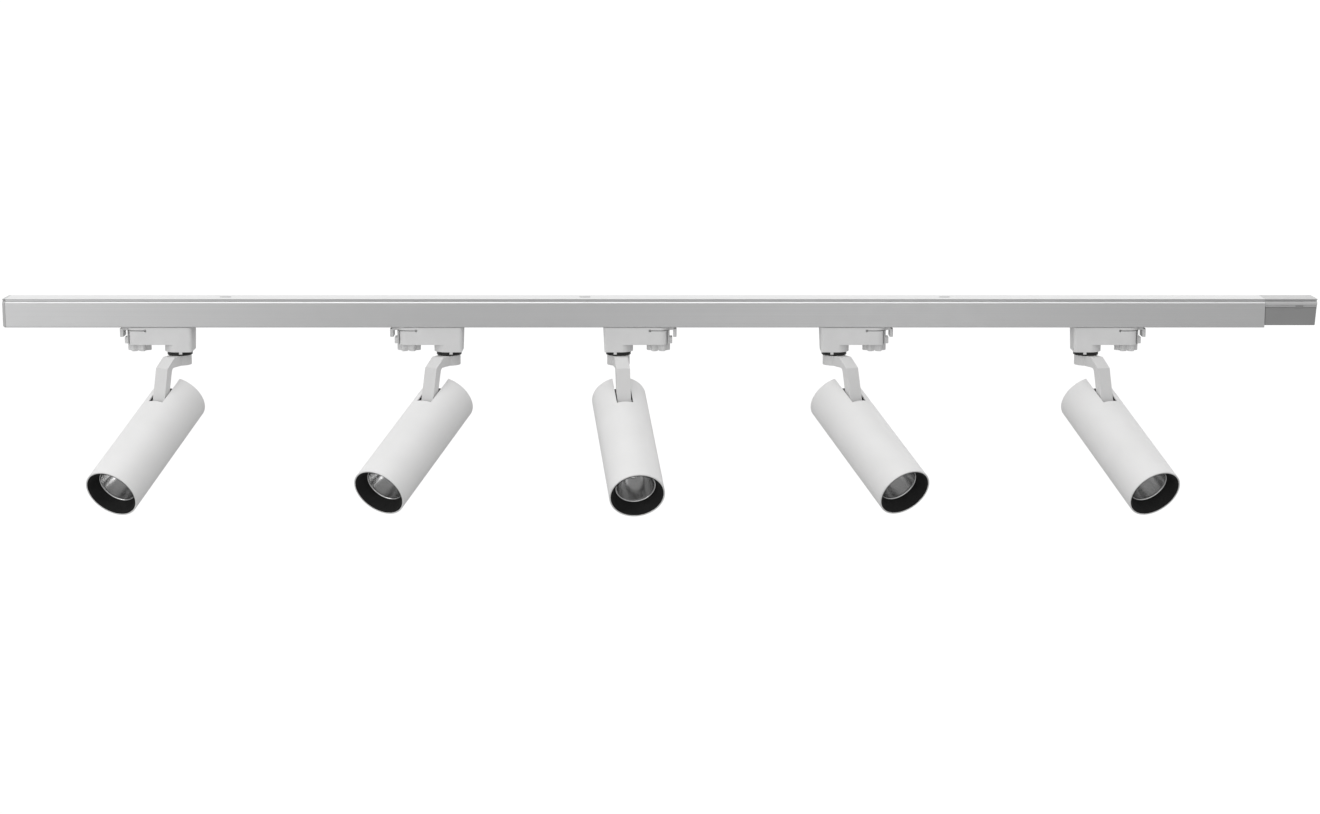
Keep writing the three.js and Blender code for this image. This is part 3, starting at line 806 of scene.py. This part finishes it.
def feed_housing_mesh(material):
    line = [
        (RAIL_HALF_WIDTH, FEED_LINE + FEED_LINE_HALF_WIDTH),
        (RAIL_HALF_WIDTH - FEED_LINE_DEPTH, FEED_LINE),
        (RAIL_HALF_WIDTH, FEED_LINE - FEED_LINE_HALF_WIDTH),
        (RAIL_HALF_WIDTH, FEED_LEDGE + FEED_LEDGE_DRAFT),
        (FEED_COVER_HALF_WIDTH, FEED_LEDGE),
    ]
    half = rail_side_points()[:-1] + line
    radii = RAIL_SIDE_RADII[:-1] + FEED_LINE_RADII
    crown = prism(rounded(mirrored(half), radii + radii[::-1], steps=3), FEED_START, FEED_END, "x")
    wall = FEED_WALL + GAP
    core_end = FEED_END - wall - FEED_DRAFT
    low = FEED_BOTTOM + wall
    core = slab(FEED_START, core_end, FEED_CORE_HALF_WIDTH, low, FEED_LEDGE + LAP)
    chamber = slab(
        FEED_START + FEED_CHAMBER_FROM,
        FEED_END - wall - 2 * FEED_DRAFT,
        FEED_CHAMBER_HALF_WIDTH,
        low + FEED_CHAMBER_FLOOR,
        FEED_LEDGE - LAP,
    )
    crown = softened(cut(crown, feed_end_trim()), FEED_EDGE)
    plug = channel_plug(FEED_START - FEED_PLUG_LENGTH, FEED_START + LAP)
    body = join(cut(crown, *latch_tab(FINE_GAP)), core, softened(plug, PLUG_EDGE))
    body = cut(body, chamber, feed_inlet(FEED_INLET_RADIUS), feed_end_trim())
    return finished(body, material, "feed_housing")


def feed_cover_mesh(material):
    half_width = FEED_COVER_HALF_WIDTH
    section = rectangle(-half_width, half_width, FEED_BOTTOM, FEED_LEDGE - FINE_GAP)
    section = rounded(section, [FEED_COVER_CORNER, FEED_COVER_CORNER, 0, 0])
    outside = prism(section, FEED_START + GAP, FEED_END, "x")
    inside_end = FEED_END - FEED_WALL - FEED_DRAFT
    low = FEED_BOTTOM + FEED_WALL
    inside = slab(FEED_START - LAP, inside_end, FEED_CORE_HALF_WIDTH + GAP, low, 0)
    outside = softened(cut(outside, feed_end_trim()), FEED_EDGE)
    cover = cut(outside, inside, feed_inlet(FEED_INLET_RADIUS + FINE_GAP))
    tabs = [softened(tab, TAB_EDGE) for tab in latch_tab(0)]
    return finished(join(cover, *tabs), material, "feed_cover")


# -------------------- adapter
# In the housing and the ring the swivel axis is at x = 0 and the lever is towards +X. The lever and
# the knob are drawn about their own axis.


def housing_plan(inset, low, high):
    """The housing's plan, shrunk all round by an inset, carried from low to high."""
    half_width = HOUSING_HALF_WIDTH - inset
    plan = band(HOUSING_SWIVEL_END + inset, HOUSING_LEVER_END - inset, half_width)
    blunt = HOUSING_LEVER_CORNER - inset
    radii = [HOUSING_SWIVEL_CORNER - inset, blunt, blunt, HOUSING_SWIVEL_CORNER - inset]
    return prism(rounded(plan, radii, steps=12), low, high)


def housing_block():
    block = housing_plan(0, BOSS_BOTTOM, HOUSING_TOP)
    side = [
        (HOUSING_SWIVEL_END, HOUSING_TOP + LAP),
        (HOUSING_SWIVEL_END, HOUSING_TOP),
        (HOUSING_SWIVEL_END_BOTTOM, BOSS_BOTTOM),
        (0, BOSS_BOTTOM),
        (0, HOUSING_BOTTOM),
        (HOUSING_LEVER_END + LAP, HOUSING_BOTTOM),
        (HOUSING_LEVER_END + LAP, HOUSING_TOP + LAP),
    ]
    return common(block, prism(side, -ACROSS, ACROSS, "y"))


def lever_seam(cheek_side, x, z):
    """The joint line of the cheek: level with the lever's pocket, with a sink at one end, and down
    both corners at the other."""
    outer = cheek_side * (HOUSING_HALF_WIDTH + LAP)
    y0, y1 = sorted((0, outer))
    line = box(x, HOUSING_LEVER_END + LAP, y0, y1, z, z + SEAM_WIDTH)
    line = cut(line, housing_plan(SEAM_DEPTH, z - LAP, z + SEAM_WIDTH + LAP))
    drop_end = SEAM_DROP + SEAM_DROP_WIDTH
    drop = slab(SEAM_DROP, drop_end, ACROSS, HOUSING_BOTTOM - LAP, z + SEAM_WIDTH / 2)
    drop = cut(drop, housing_plan(SEAM_DROP_DEPTH, HOUSING_BOTTOM - 2 * LAP, z + SEAM_WIDTH))
    y0, y1 = sorted((cheek_side * (HOUSING_HALF_WIDTH - SEAM_DEPTH), outer))
    return [line, drop, rod(SEAM_END_RADIUS, y0, y1, x, z + SEAM_WIDTH / 2, 24)]


def housing_mesh(open_side, material):
    """The lever swings out on the open side, 1 or -1 along Y; a cheek closes the other side."""
    boss = post(BOSS_RADIUS, BOSS_BOTTOM, HOUSING_TOP - LAP, 96)
    half_width = HOUSING_HALF_WIDTH
    width_limit = slab(-LAP, HOUSING_LEVER_END, half_width, BOSS_BOTTOM, HOUSING_TOP)
    neck_plan = rounded(band(NECK_FROM, NECK_TO, NECK_HALF_WIDTH), NECK_CORNER)
    neck = prism(neck_plan, HOUSING_TOP - LAP, NECK_TOP)
    step_plan = band(HOUSING_LEVER_END - LATCH_ROOT, LATCH_END, LATCH_HALF_WIDTH)
    step = prism(rounded(step_plan, [0, LATCH_CORNER, LATCH_CORNER, 0]), LATCH_BOTTOM, LATCH_TOP)
    pocket_floor = LEVER_TOP - LEVER_THICKNESS - LEVER_SHADOW_GAP
    pocket_from = LEVER_X - LEVER_HEAD_RADIUS - LEVER_SHADOW_GAP
    y0, y1 = sorted((-open_side * (LEVER_HEAD_RADIUS + GAP), open_side * (half_width + LAP)))
    pocket_to = HOUSING_LEVER_END + 4 * LAP
    pocket = box(pocket_from, pocket_to, y0, y1, pocket_floor, HOUSING_TOP + LAP)
    seam = lever_seam(-open_side, pocket_from, pocket_floor)
    y0, y1 = sorted((-open_side * (RING_RADIUS + GAP), -open_side * (half_width - INDEX_LUG_SET_BACK)))
    lug = box(*INDEX_LUG, y0, y1, INDEX_LUG_BOTTOM, BOSS_BOTTOM + LAP)
    bore_radius = KNOB_SHAFT_RADIUS + GAP
    selector_bore = post(bore_radius, HOUSING_BOTTOM - LAP, HOUSING_TOP + LAP, 40, (LEVER_X, 0))
    stud_bore = post(STUD_RADIUS + GAP, BOSS_BOTTOM - LAP, STUD_HEAD_TOP, 40)
    head_room = post(
        STUD_HEAD_RADIUS + GAP,
        STUD_HEAD_TOP - STUD_HEAD_THICKNESS - GAP,
        STUD_HEAD_TOP + GAP,
        40,
    )
    shell = softened(cut(join(housing_block(), common(boss, width_limit)), pocket), HOUSING_EDGE)
    neck = softened(neck, NECK_EDGE)
    step = softened(step, LATCH_EDGE)
    lug = softened(lug, INDEX_LUG_EDGE)
    body = join(shell, neck, step, lug)
    body = cut(body, selector_bore, stud_bore, head_room, *seam)
    return finished(body, material, "adapter_housing")


def lever_mesh(material):
    plate_bottom = LEVER_TOP - LEVER_THICKNESS
    head = post(LEVER_HEAD_RADIUS, plate_bottom, LEVER_TOP, 64)
    tongue = slab(0, GRIP_INNER + LAP, LEVER_HEAD_RADIUS, plate_bottom, LEVER_TOP)
    grip_plan = band(GRIP_INNER, GRIP_OUTER, LEVER_HEAD_RADIUS)
    grip = prism(rounded(grip_plan, [0, GRIP_CORNER, GRIP_CORNER, 0]), GRIP_BOTTOM, GRIP_TOP)
    shaft = post(LEVER_SHAFT_RADIUS, plate_bottom + LAP, DOG_TOP - LEVER_SHAFT_SET_BACK, 64)
    dogs_plan = band(-DOG_HALF_WIDTH, DOG_HALF_WIDTH, DOG_REACH)
    dogs = prism(rounded(dogs_plan, DOG_CORNER), DOG_BOTTOM, DOG_TOP)
    bore = post(KNOB_SHAFT_RADIUS + GAP, plate_bottom - LAP, DOG_TOP + LAP, 40)
    handle = softened(join(head, tongue, grip), LEVER_EDGE)
    body = cut(join(handle, shaft, softened(dogs, DOG_EDGE)), bore)
    return finished(body, material, "lock_lever")


def knob_mesh(material):
    points = []
    count = KNOB_LOBES * KNOB_POINTS_PER_LOBE
    for i in range(count):
        angle = 2 * math.pi * i / count
        radius = KNOB_MEAN_RADIUS - KNOB_LOBE_DEPTH * math.cos(KNOB_LOBES * (angle + math.pi / 2))
        points.append((radius * math.cos(angle), radius * math.sin(angle)))
    knob = prism(points, KNOB_BOTTOM, KNOB_TOP)
    pointer_plan = rectangle(-POINTER_HALF_WIDTH, POINTER_HALF_WIDTH, *POINTER_ENDS)
    pointer_plan = rounded(pointer_plan, POINTER_CORNER)
    pointer = prism(pointer_plan, KNOB_BOTTOM - LAP, KNOB_BOTTOM + POINTER_DEPTH)
    knob = cut(softened(knob, KNOB_EDGE, steps=3), softened(pointer, POINTER_EDGE))
    blade_height = CONDUCTOR_HEIGHTS[0]
    shaft = post(KNOB_SHAFT_RADIUS, KNOB_TOP - LAP, blade_height + BLADE_HALF_HEIGHT, 40)
    blade_plan = rectangle(-BLADE_HALF_WIDTH, BLADE_HALF_WIDTH, -BLADE_REACH, 0)
    blade_plan = rounded(blade_plan, [BLADE_CORNER, BLADE_CORNER, 0, 0])
    blade = prism(blade_plan, blade_height - BLADE_HALF_HEIGHT, blade_height + BLADE_HALF_HEIGHT)
    return finished(join(knob, softened(join(shaft, blade), BLADE_EDGE)), material, "circuit_selector")


def swivel_ring_mesh(material):
    middle = (RING_TOP + RING_BOTTOM) / 2
    profile = [
        (STUD_RADIUS + GAP, RING_BOTTOM),
        (RING_RADIUS, RING_BOTTOM),
        (RING_RADIUS, middle - RING_GROOVE_HALF_WIDTH),
        (RING_RADIUS - RING_GROOVE_DEPTH, middle),
        (RING_RADIUS, middle + RING_GROOVE_HALF_WIDTH),
        (RING_RADIUS, RING_TOP),
        (STUD_RADIUS + GAP, RING_TOP),
    ]
    return finished(turned(rounded(profile, RING_RADII, steps=3), 96), material, "swivel_ring")


# -------------------- arm
# The swivel axis is at x = 0 and the arm reaches towards +X.


def leg_lean(reach, height):
    """The angle of the arm's leg from straight down."""
    return math.atan2(reach - ARM_LEG_TOP[0], ARM_LEG_TOP[1] - height)


def arm_side(reach, height):
    """The arm from the side, with its pivot at this reach and height."""
    bottom = ARM_TOP - ARM_PLATE
    leg_reach, leg_height = ARM_LEG_TOP
    lean = leg_lean(reach, height)
    across = ARM_LEG_THICKNESS / 2 * math.cos(lean)
    rise = ARM_LEG_THICKNESS / 2 * math.sin(lean)
    level = ARM_LEG_THICKNESS / 2 / math.cos(lean)
    inside_corner = leg_reach - level + (leg_height - bottom) * math.tan(lean)
    points = [
        (0, ARM_TOP),
        (0, bottom),
        (inside_corner, bottom),
        (reach - across, height - rise),
        (reach + across, height + rise),
        (leg_reach + level, leg_height),
        (ARM_CHAMFER_REACH, ARM_TOP),
    ]
    radii = [0, 0, ARM_INSIDE_RADIUS, 0, 0, ARM_OUTSIDE_RADIUS, ARM_OUTSIDE_RADIUS]
    return rounded(points, radii, steps=8)


def leg_end(reach, height):
    """The leg's rounded end, around the pivot."""
    barrel = rod(BARREL_RADIUS, -ARM_HALF_WIDTH, ARM_HALF_WIDTH, reach, height, 64)
    half = ARM_LEG_THICKNESS / 2
    strip = prism(band(-half, half, BARREL_RADIUS + LAP), -ACROSS, ACROSS, "y")
    lean = Matrix.Rotation(-leg_lean(reach, height), 4, "Y")
    strip.data.transform(Matrix.Translation((reach, 0, height)) @ lean)
    return common(barrel, strip)


def arm_mesh(reach, height, material):
    bottom = ARM_TOP - ARM_PLATE
    bar = prism(arm_side(reach, height), -ARM_HALF_WIDTH, ARM_HALF_WIDTH, "y")
    disc = post(ARM_DISC_RADIUS, bottom, ARM_TOP, 96)
    pin_bore = rod(PIN_RADIUS + GAP, -ACROSS, ACROSS, reach, height)
    stud = post(STUD_RADIUS, ARM_TOP - LAP, STUD_HEAD_TOP - LAP, 48)
    head = post(STUD_HEAD_RADIUS, STUD_HEAD_TOP - STUD_HEAD_THICKNESS, STUD_HEAD_TOP, 48)
    wire_bore = post(STUD_BORE_RADIUS, bottom - LAP, STUD_HEAD_TOP + LAP, 32)
    casting = softened(join(bar, disc, leg_end(reach, height)), ARM_EDGE, steps=3)
    body = cut(join(casting, stud, softened(head, STUD_HEAD_EDGE)), pin_bore, wire_bore)
    return finished(body, material, "arm")


# -------------------- spot
# The tube's axis is Z, its rear end is at z = 0 and its slot is towards -X.


def arm_space(extra):
    """The space that the arm's leg and barrel swing in, open at the rear and through the wall."""
    half_width = SLOT_HALF_WIDTH + extra
    face = rectangle(-half_width, half_width, -SLOT_RUN_OUT, SLOT_END + extra)
    outline = rounded(face, [0, 0, SLOT_CORNER, SLOT_CORNER])
    return prism(outline, -TUBE_RADIUS - SLOT_RUN_OUT, -SLOT_FLOOR + extra, "x")


def tube_mesh(material):
    profile = rectangle(INSIDE_RADIUS, TUBE_RADIUS, 0, TUBE_LENGTH)
    tube = turned(rounded(profile, TUBE_RIM_RADII, steps=3), 160)
    tube = softened(cut(tube, arm_space(0)), TUBE_EDGE, sharper_than=50)
    return finished(tube, material, "spot_tube")


def baffle_mesh(material):
    """A black ring whose cone is a flight of fine steps that trap stray light."""
    front = TUBE_LENGTH - BAFFLE_SET_BACK
    lip = FIT_RADIUS - BAFFLE_LIP
    foot = (lip - BAFFLE_LIP / 2, front - BAFFLE_LIP_DEPTH)
    profile = [(BAFFLE_INNER_RADIUS, BAFFLE_REAR), (FIT_RADIUS, BAFFLE_REAR), (FIT_RADIUS, front)]
    crest = FIT_RADIUS - BAFFLE_LIP * BAFFLE_LIP_SHARE
    profile += [(crest, front), (lip, front - BAFFLE_LIP_DROP), foot]
    width = (foot[0] - BAFFLE_INNER_RADIUS) / BAFFLE_STEPS
    height = (foot[1] - BAFFLE_REAR) / BAFFLE_STEPS
    for i in range(BAFFLE_STEPS):
        outer = foot[0] - i * width
        top = foot[1] - i * height
        nose = (outer - BAFFLE_STEP_TREAD * width, top - BAFFLE_STEP_RISE * height)
        profile += [nose, (outer - width, top - height)]
    profile.pop()
    profile.append((BAFFLE_INNER_RADIUS, BAFFLE_REAR + BAFFLE_REAR_EDGE))
    return finished(turned(profile, 144), material, "baffle")


def bowl_radius(share):
    """The bowl's radius at a share of its depth, 0 at the light source and 1 at the rim."""
    return BOWL_BASE_RADIUS + (BOWL_RIM_RADIUS - BOWL_BASE_RADIUS) * share**BOWL_POWER


def reflector_mesh(material):
    """The bowl, whose rim flares out in a quarter of an ellipse."""
    steps = range(BOWL_STEPS + 1)
    shares = [BOWL_LIP_FROM * (i / BOWL_STEPS) ** BOWL_CROWDING for i in steps]
    outside = [(bowl_radius(s) + BOWL_SKIN, BOWL_BASE + s * BOWL_DEPTH) for s in reversed(shares)]
    inside = [(bowl_radius(s) - BOWL_LIP_FLARE * s, BOWL_BASE + s * BOWL_DEPTH) for s in shares]
    lip_start, lip_height = inside[-1]
    for i in range(1, BOWL_LIP_STEPS + 1):
        angle = math.pi / 2 * i / BOWL_LIP_STEPS
        flare = (BOWL_RIM_RADIUS - lip_start) * (1 - math.cos(angle))
        inside.append((lip_start + flare, lip_height + (BOWL_RIM - lip_height) * math.sin(angle)))
    flange = [
        (FIT_RADIUS, BOWL_RIM),
        (FIT_RADIUS, BOWL_RIM - BOWL_FLANGE),
        (BOWL_RIM_RADIUS + BOWL_SKIN, BOWL_RIM - BOWL_FLANGE),
    ]
    return finished(turned(inside + flange + outside, 144), material, "reflector")


def rear_cover():
    """The casting's dished rear face."""
    rim = FIT_RADIUS - COVER_RIM_WIDTH
    floor_height = COVER_FROM + COVER_RECESS
    profile = [
        (0, floor_height),
        (rim - COVER_RECESS_FOOT, floor_height),
        (rim - COVER_RECESS_HEAD, COVER_FROM),
        (FIT_RADIUS, COVER_FROM),
        (FIT_RADIUS, COVER_TO),
        (0, COVER_TO),
    ]
    return turned(rounded(profile, COVER_RADII, steps=3), 96)


def heat_sink_mesh(material):
    ears = common(
        post(FIT_RADIUS, COVER_TO - LAP, EAR_DEPTH, 96),
        slab(-TUBE_RADIUS, -EAR_FLOOR, TUBE_RADIUS, 0, EAR_DEPTH + LAP),
    )
    spine_back = -EAR_FLOOR - SPINE_THICKNESS
    spine_face = -EAR_FLOOR + GAP
    spine = slab(spine_back, spine_face, SPINE_HALF_WIDTH, EAR_DEPTH - LAP, SEAT_REAR + LAP)
    seat = post(FIT_RADIUS, SEAT_REAR, SEAT_FRONT, 96)
    fins = post(FIT_RADIUS, SEAT_REAR - FIN_DEPTH, SEAT_REAR + LAP, 96)
    gaps = []
    for i in range(FINS):
        plan = band(HUB_RADIUS, HUB_RADIUS + TUBE_RADIUS, FIN_GAP / 2)
        gap = prism(plan, SEAT_REAR - FIN_DEPTH - LAP, SEAT_REAR)
        gap.data.transform(Matrix.Rotation((i + 0.5) / FINS * 2 * math.pi, 4, "Z"))
        gaps.append(gap)
    pin_bore = rod(PIN_RADIUS + GAP, -TUBE_RADIUS, TUBE_RADIUS, -PIVOT_FROM_AXIS, PIVOT_FROM_REAR)
    recess_end = COVER_FROM + COVER_SCREW_DEPTH
    screws = [post(COVER_SCREW_RADIUS, 0, recess_end, 32, place) for place in COVER_SCREWS]
    fins = softened(cut(fins, *gaps), FIN_EDGE)
    body = cut(join(rear_cover(), ears, spine, seat, fins), arm_space(GAP), pin_bore, *screws)
    return finished(body, material, "heat_sink")


def tilt_pin_mesh(material):
    half = PIN_HALF_LENGTH
    profile = [(0, -half), (PIN_RADIUS, -half), (PIN_RADIUS, half), (0, half)]
    pin = turned(rounded(profile, [0, PIN_EDGE, PIN_EDGE, 0], steps=3), 40)
    socket = prism(circle(PIN_SOCKET_RADIUS, 6), half - PIN_SOCKET_DEPTH, half + LAP)
    pin = cut(pin, socket)
    turn = Matrix.Rotation(math.pi / 2, 4, "X")
    pin.data.transform(Matrix.Translation((-PIVOT_FROM_AXIS, 0, PIVOT_FROM_REAR)) @ turn)
    return finished(pin, material, "tilt_pin")


def led_board_mesh(material):
    half = LED_HALF_WIDTH
    plan = rounded(band(-half, half, half), LED_CORNER)
    board = prism(plan, SEAT_FRONT + FINE_GAP, SEAT_FRONT + FINE_GAP + LED_THICKNESS)
    return finished(softened(board, LED_EDGE), material, "led_board")


def led_phosphor_mesh(material):
    low = SEAT_FRONT + LED_THICKNESS + 2 * FINE_GAP
    side = low + PHOSPHOR_SIDE
    profile = [(0, low), (PHOSPHOR_RADIUS, low), (PHOSPHOR_RADIUS, side)]
    for angle in PHOSPHOR_ANGLES:
        profile.append((PHOSPHOR_RADIUS * math.cos(angle), side + PHOSPHOR_CROWN * math.sin(angle)))
    profile.append((0, side + PHOSPHOR_CROWN))
    return finished(turned(profile, 64), material, "led_phosphor")


# -------------------- placing


def joint_place(name):
    return Vector(next(j for j in frame["joints"] if j["name"] == name)["pos_m"])


def track(materials):
    silver = materials["anodised"]
    placed(rail_mesh(silver), "rail_profile", "track", replaces=["track_rail"])
    for side, node in ((-1, "insulator_front"), (1, "insulator_rear")):
        mesh = insulator_mesh(side, materials["ivory"])
        placed(mesh, f"{node}_strip", "track", replaces=[node])
    upper, lower = CONDUCTOR_HEIGHTS
    bars = (
        (-1, upper, "conductor_line_1"),
        (-1, lower, "conductor_line_2"),
        (1, upper, "conductor_line_3"),
        (1, lower, "conductor_neutral"),
    )
    for side, z, node in bars:
        mesh = conductor_mesh(side, z, materials["copper"])
        placed(mesh, f"{node}_bar", "track", replaces=[node])
    cap = end_cap_mesh(materials["silver_plastic"])
    placed(cap, "end_cap_moulding", "track", replaces=["end_cap"])
    housing = feed_housing_mesh(materials["silver_plastic"])
    placed(housing, "feed_moulding", "track", replaces=["feed_housing"])
    cover = feed_cover_mesh(materials["cover_plastic"])
    placed(cover, "feed_cover_moulding", "track", replaces=["feed_cover"])


def lamp_meshes(materials):
    """One mesh for each sub-part of a lamp, with a housing for each hand. Each lamp gets copies."""
    swivel = joint_place("swivel_turn_1")
    pivot = joint_place("spot_tilt_1")
    reach = (pivot - swivel).xy.length / MM
    height = pivot.z / MM
    white = materials["white"]
    plastic = materials["adapter_plastic"]
    return {
        "right_housing": housing_mesh(1, plastic),
        "left_housing": housing_mesh(-1, plastic),
        "lever": lever_mesh(plastic),
        "selector": knob_mesh(plastic),
        "ring": swivel_ring_mesh(materials["black_plastic"]),
        # the arm's white is a darker copy of the tube's white: painted shade
        "arm": arm_mesh(reach, height, materials["shaded_arm_white"]),
        "tube": tube_mesh(white),
        "baffle": baffle_mesh(materials["black"]),
        "reflector": reflector_mesh(materials["mirror"]),
        "heat_sink": heat_sink_mesh(materials["cast"]),
        "pin": tilt_pin_mesh(materials["steel"]),
        "board": led_board_mesh(materials["ceramic"]),
        "phosphor": led_phosphor_mesh(materials["phosphor"]),
    }


def shift(x, y, z):
    return Matrix.Translation((x, y, z))


def turn(angle, axis):
    return Matrix.Rotation(angle, 4, axis)


def lamp(n, meshes):
    swivel = joint_place(f"swivel_turn_{n}")
    pivot = joint_place(f"spot_tilt_{n}")
    lever_axis = joint_place(f"lever_turn_{n}")
    towards_right = lever_axis.x > swivel.x
    half_turn = 0 if towards_right else math.pi
    housing = "right_housing" if towards_right else "left_housing"
    adapter = shift(swivel.x, 0, 0) @ turn(half_turn, "Z")
    handle = shift(lever_axis.x, 0, 0) @ turn(half_turn, "Z")
    selector = handle @ turn(half_turn, "Z")
    yaw = math.atan2(pivot.y - swivel.y, pivot.x - swivel.x)
    swung = shift(swivel.x, 0, 0) @ turn(yaw, "Z")
    inner = shift(PIVOT_FROM_AXIS * MM, 0, -PIVOT_FROM_REAR * MM)
    spot = shift(*pivot) @ turn(yaw, "Z") @ turn(math.pi - LAMP_TILT, "Y") @ inner
    rows = (
        (housing, "adapter_shell", "adapter", "adapter_plastic", adapter, "adapter_housing"),
        ("lever", "lever_handle", "lever", "adapter_plastic", handle, "lock_lever"),
        ("selector", "selector_knob", "selector", "adapter_plastic", selector, "circuit_selector"),
        ("ring", "friction_ring", "swivel", "black_plastic", swung, "swivel_ring"),
        ("arm", "arm_casting", "swivel", "white_paint", swung, "arm"),
        ("tube", "tube_shell", "spot", "white_paint", spot, "spot_tube"),
        ("baffle", "baffle_cone", "spot", "baffle_black", spot, "baffle"),
        ("reflector", "reflector_bowl", "spot", "reflector_aluminium", spot, "reflector"),
        ("heat_sink", "heat_sink_casting", "spot", "cast_aluminium", spot, "heat_sink"),
        ("pin", "tilt_pin_steel", "spot", "steel", spot, "tilt_pin"),
        ("board", "led_board", "spot", "white_paint", spot, None),
        ("phosphor", "led_phosphor", "spot", "insulator_plastic", spot, None),
    )
    for key, name, body, slot, place, node in rows:
        replaces = [f"{node}_{n}"] if node else []
        placed(meshes[key], f"{name}_{n}", f"{body}_{n}", place, replaces)


# -------------------- stage, light and camera

FLOOR_DEPTH = 2.75  # metres below the track
FLOOR_RADIUS = 160.0
SEEN_WHITE = 1.05  # what the camera sees of the floor and the sky
FLOOR_LIGHT = 0.44
HORIZON_LIGHT = 0.6
ZENITH_LIGHT = 0.95
CAMERA_PLACE = (0.029668, -3.10895, 0.43083)  # metres
CAMERA_DOWN = math.radians(10.294)
CAMERA_LENS = 71.483


def seen_and_cast(tree, kind, seen, cast):
    """One shader for what the camera sees directly, and a dimmer one for the light that it casts."""
    path = tree.nodes.new("ShaderNodeLightPath")
    mix = tree.nodes.new("ShaderNodeMixShader")
    tree.links.new(path.outputs["Is Camera Ray"], mix.inputs["Fac"])
    shaders = []
    for socket, value in ((1, cast), (2, seen)):
        shader = tree.nodes.new(kind)
        fill(shader, {"Strength": value, "Color": (1, 1, 1, 1)})
        tree.links.new(shader.outputs[0], mix.inputs[socket])
        shaders.append(shader)
    return mix.outputs["Shader"], shaders[0]


def floor():
    bm = bmesh.new()
    points = circle(FLOOR_RADIUS, 64)
    bm.faces.new([bm.verts.new((x, y, -FLOOR_DEPTH)) for x, y in points])
    mesh = bpy.data.meshes.new("floor")
    bm.to_mesh(mesh)
    bm.free()
    material = bpy.data.materials.new("floor")
    material.use_nodes = True
    tree = material.node_tree
    surface, _ = seen_and_cast(tree, "ShaderNodeEmission", SEEN_WHITE, FLOOR_LIGHT)
    tree.links.new(surface, tree.nodes["Material Output"].inputs["Surface"])
    mesh.materials.append(material)
    obj = new_object("floor", mesh)


def world():
    """A plain sky whose light grows from the horizon to the zenith."""
    sky = bpy.data.worlds.new("sky")
    sky.use_nodes = True
    tree = sky.node_tree
    surface, cast = seen_and_cast(tree, "ShaderNodeBackground", SEEN_WHITE, ZENITH_LIGHT)
    direction = tree.nodes.new("ShaderNodeTexCoord").outputs["Generated"]
    parts = tree.nodes.new("ShaderNodeSeparateXYZ")
    rise = tree.nodes.new("ShaderNodeMapRange")
    fill(rise, {"To Min": HORIZON_LIGHT, "To Max": ZENITH_LIGHT})
    tree.links.new(direction, parts.inputs["Vector"])
    tree.links.new(parts.outputs["Z"], rise.inputs["Value"])
    tree.links.new(rise.outputs["Result"], cast.inputs["Strength"])
    tree.links.new(surface, tree.nodes["World Output"].inputs["Surface"])
    bpy.context.scene.world = sky


def softbox(name, place, target, width, height, watts):
    light = bpy.data.lights.new(name, "AREA")
    light.shape = "RECTANGLE"
    light.size = width
    light.size_y = height
    light.energy = watts
    obj = new_object(name, light)
    obj.location = place
    obj.rotation_euler = (Vector(target) - Vector(place)).to_track_quat("-Z", "Y").to_euler()
    obj.visible_camera = False


def lights():
    middle = (0, 0, -0.1)
    softbox("backdrop", (0, 3.5, 1.5), (0, 0, 0.2), 8, 3.6, 42)
    softbox("overhead", (-0.3, -0.8, 2.6), middle, 3.5, 1.2, 15)
    softbox("key_left", (-2.6, -1.9, 0.5), (-0.75, 0, -0.05), 1.2, 1.2, 11)
    softbox("fill_left", (-1.9, -2.9, -0.3), (-0.75, 0, -0.05), 1.6, 1.6, 5)
    softbox("low_front", (0.5, -3.0, -0.55), (0.2, 0, -0.05), 0.5, 0.5, 1.0)


def camera():
    view = bpy.data.cameras.new("view")
    view.sensor_width = 36
    view.lens = CAMERA_LENS
    view.clip_end = 400
    obj = new_object("view", view)
    obj.location = CAMERA_PLACE
    obj.rotation_euler = (math.pi / 2 - CAMERA_DOWN, 0, 0)
    bpy.context.scene.camera = obj


# -------------------- the scene

surfaces = {
    "anodised": anodised_aluminium(),
    "ivory": moulded_plastic("ivory_plastic", 0.66, warmth=0.04),
    "copper": drawn_copper(),
    "silver_plastic": moulded_plastic("silver_plastic", 0.53, roughness=0.42),
    "cover_plastic": moulded_plastic("cover_plastic", 0.3, roughness=0.5),
    "adapter_plastic": moulded_plastic("adapter_plastic", 0.76, roughness=0.45),
    "black_plastic": moulded_plastic("black_plastic", 0.018, roughness=0.22),
    "white": powder_coat("powder_white", 0.8),
    # a darker copy of the tube's white powder coat: painted shade on the arm, which is the same white
    # paint
    "shaded_arm_white": powder_coat("powder_shaded_arm_white", 0.72),
    "black": matt_black(),
    "mirror": polished_aluminium(),
    # the heat sink's near-black colour is painted shade for the tube's hollow behind the arm's slot
    "cast": cast_aluminium(),
    "steel": ground_steel(),
    "ceramic": moulded_plastic("ceramic", 0.8, roughness=0.35),
    "phosphor": phosphor_gel(),
}

track(surfaces)
lamp_parts = lamp_meshes(surfaces)
for number in range(1, LAMP_COUNT + 1):
    lamp(number, lamp_parts)
floor()
world()
lights()
camera()
bpy.context.scene.view_settings.view_transform = "Standard"
bpy.context.scene.view_settings.look = "None"
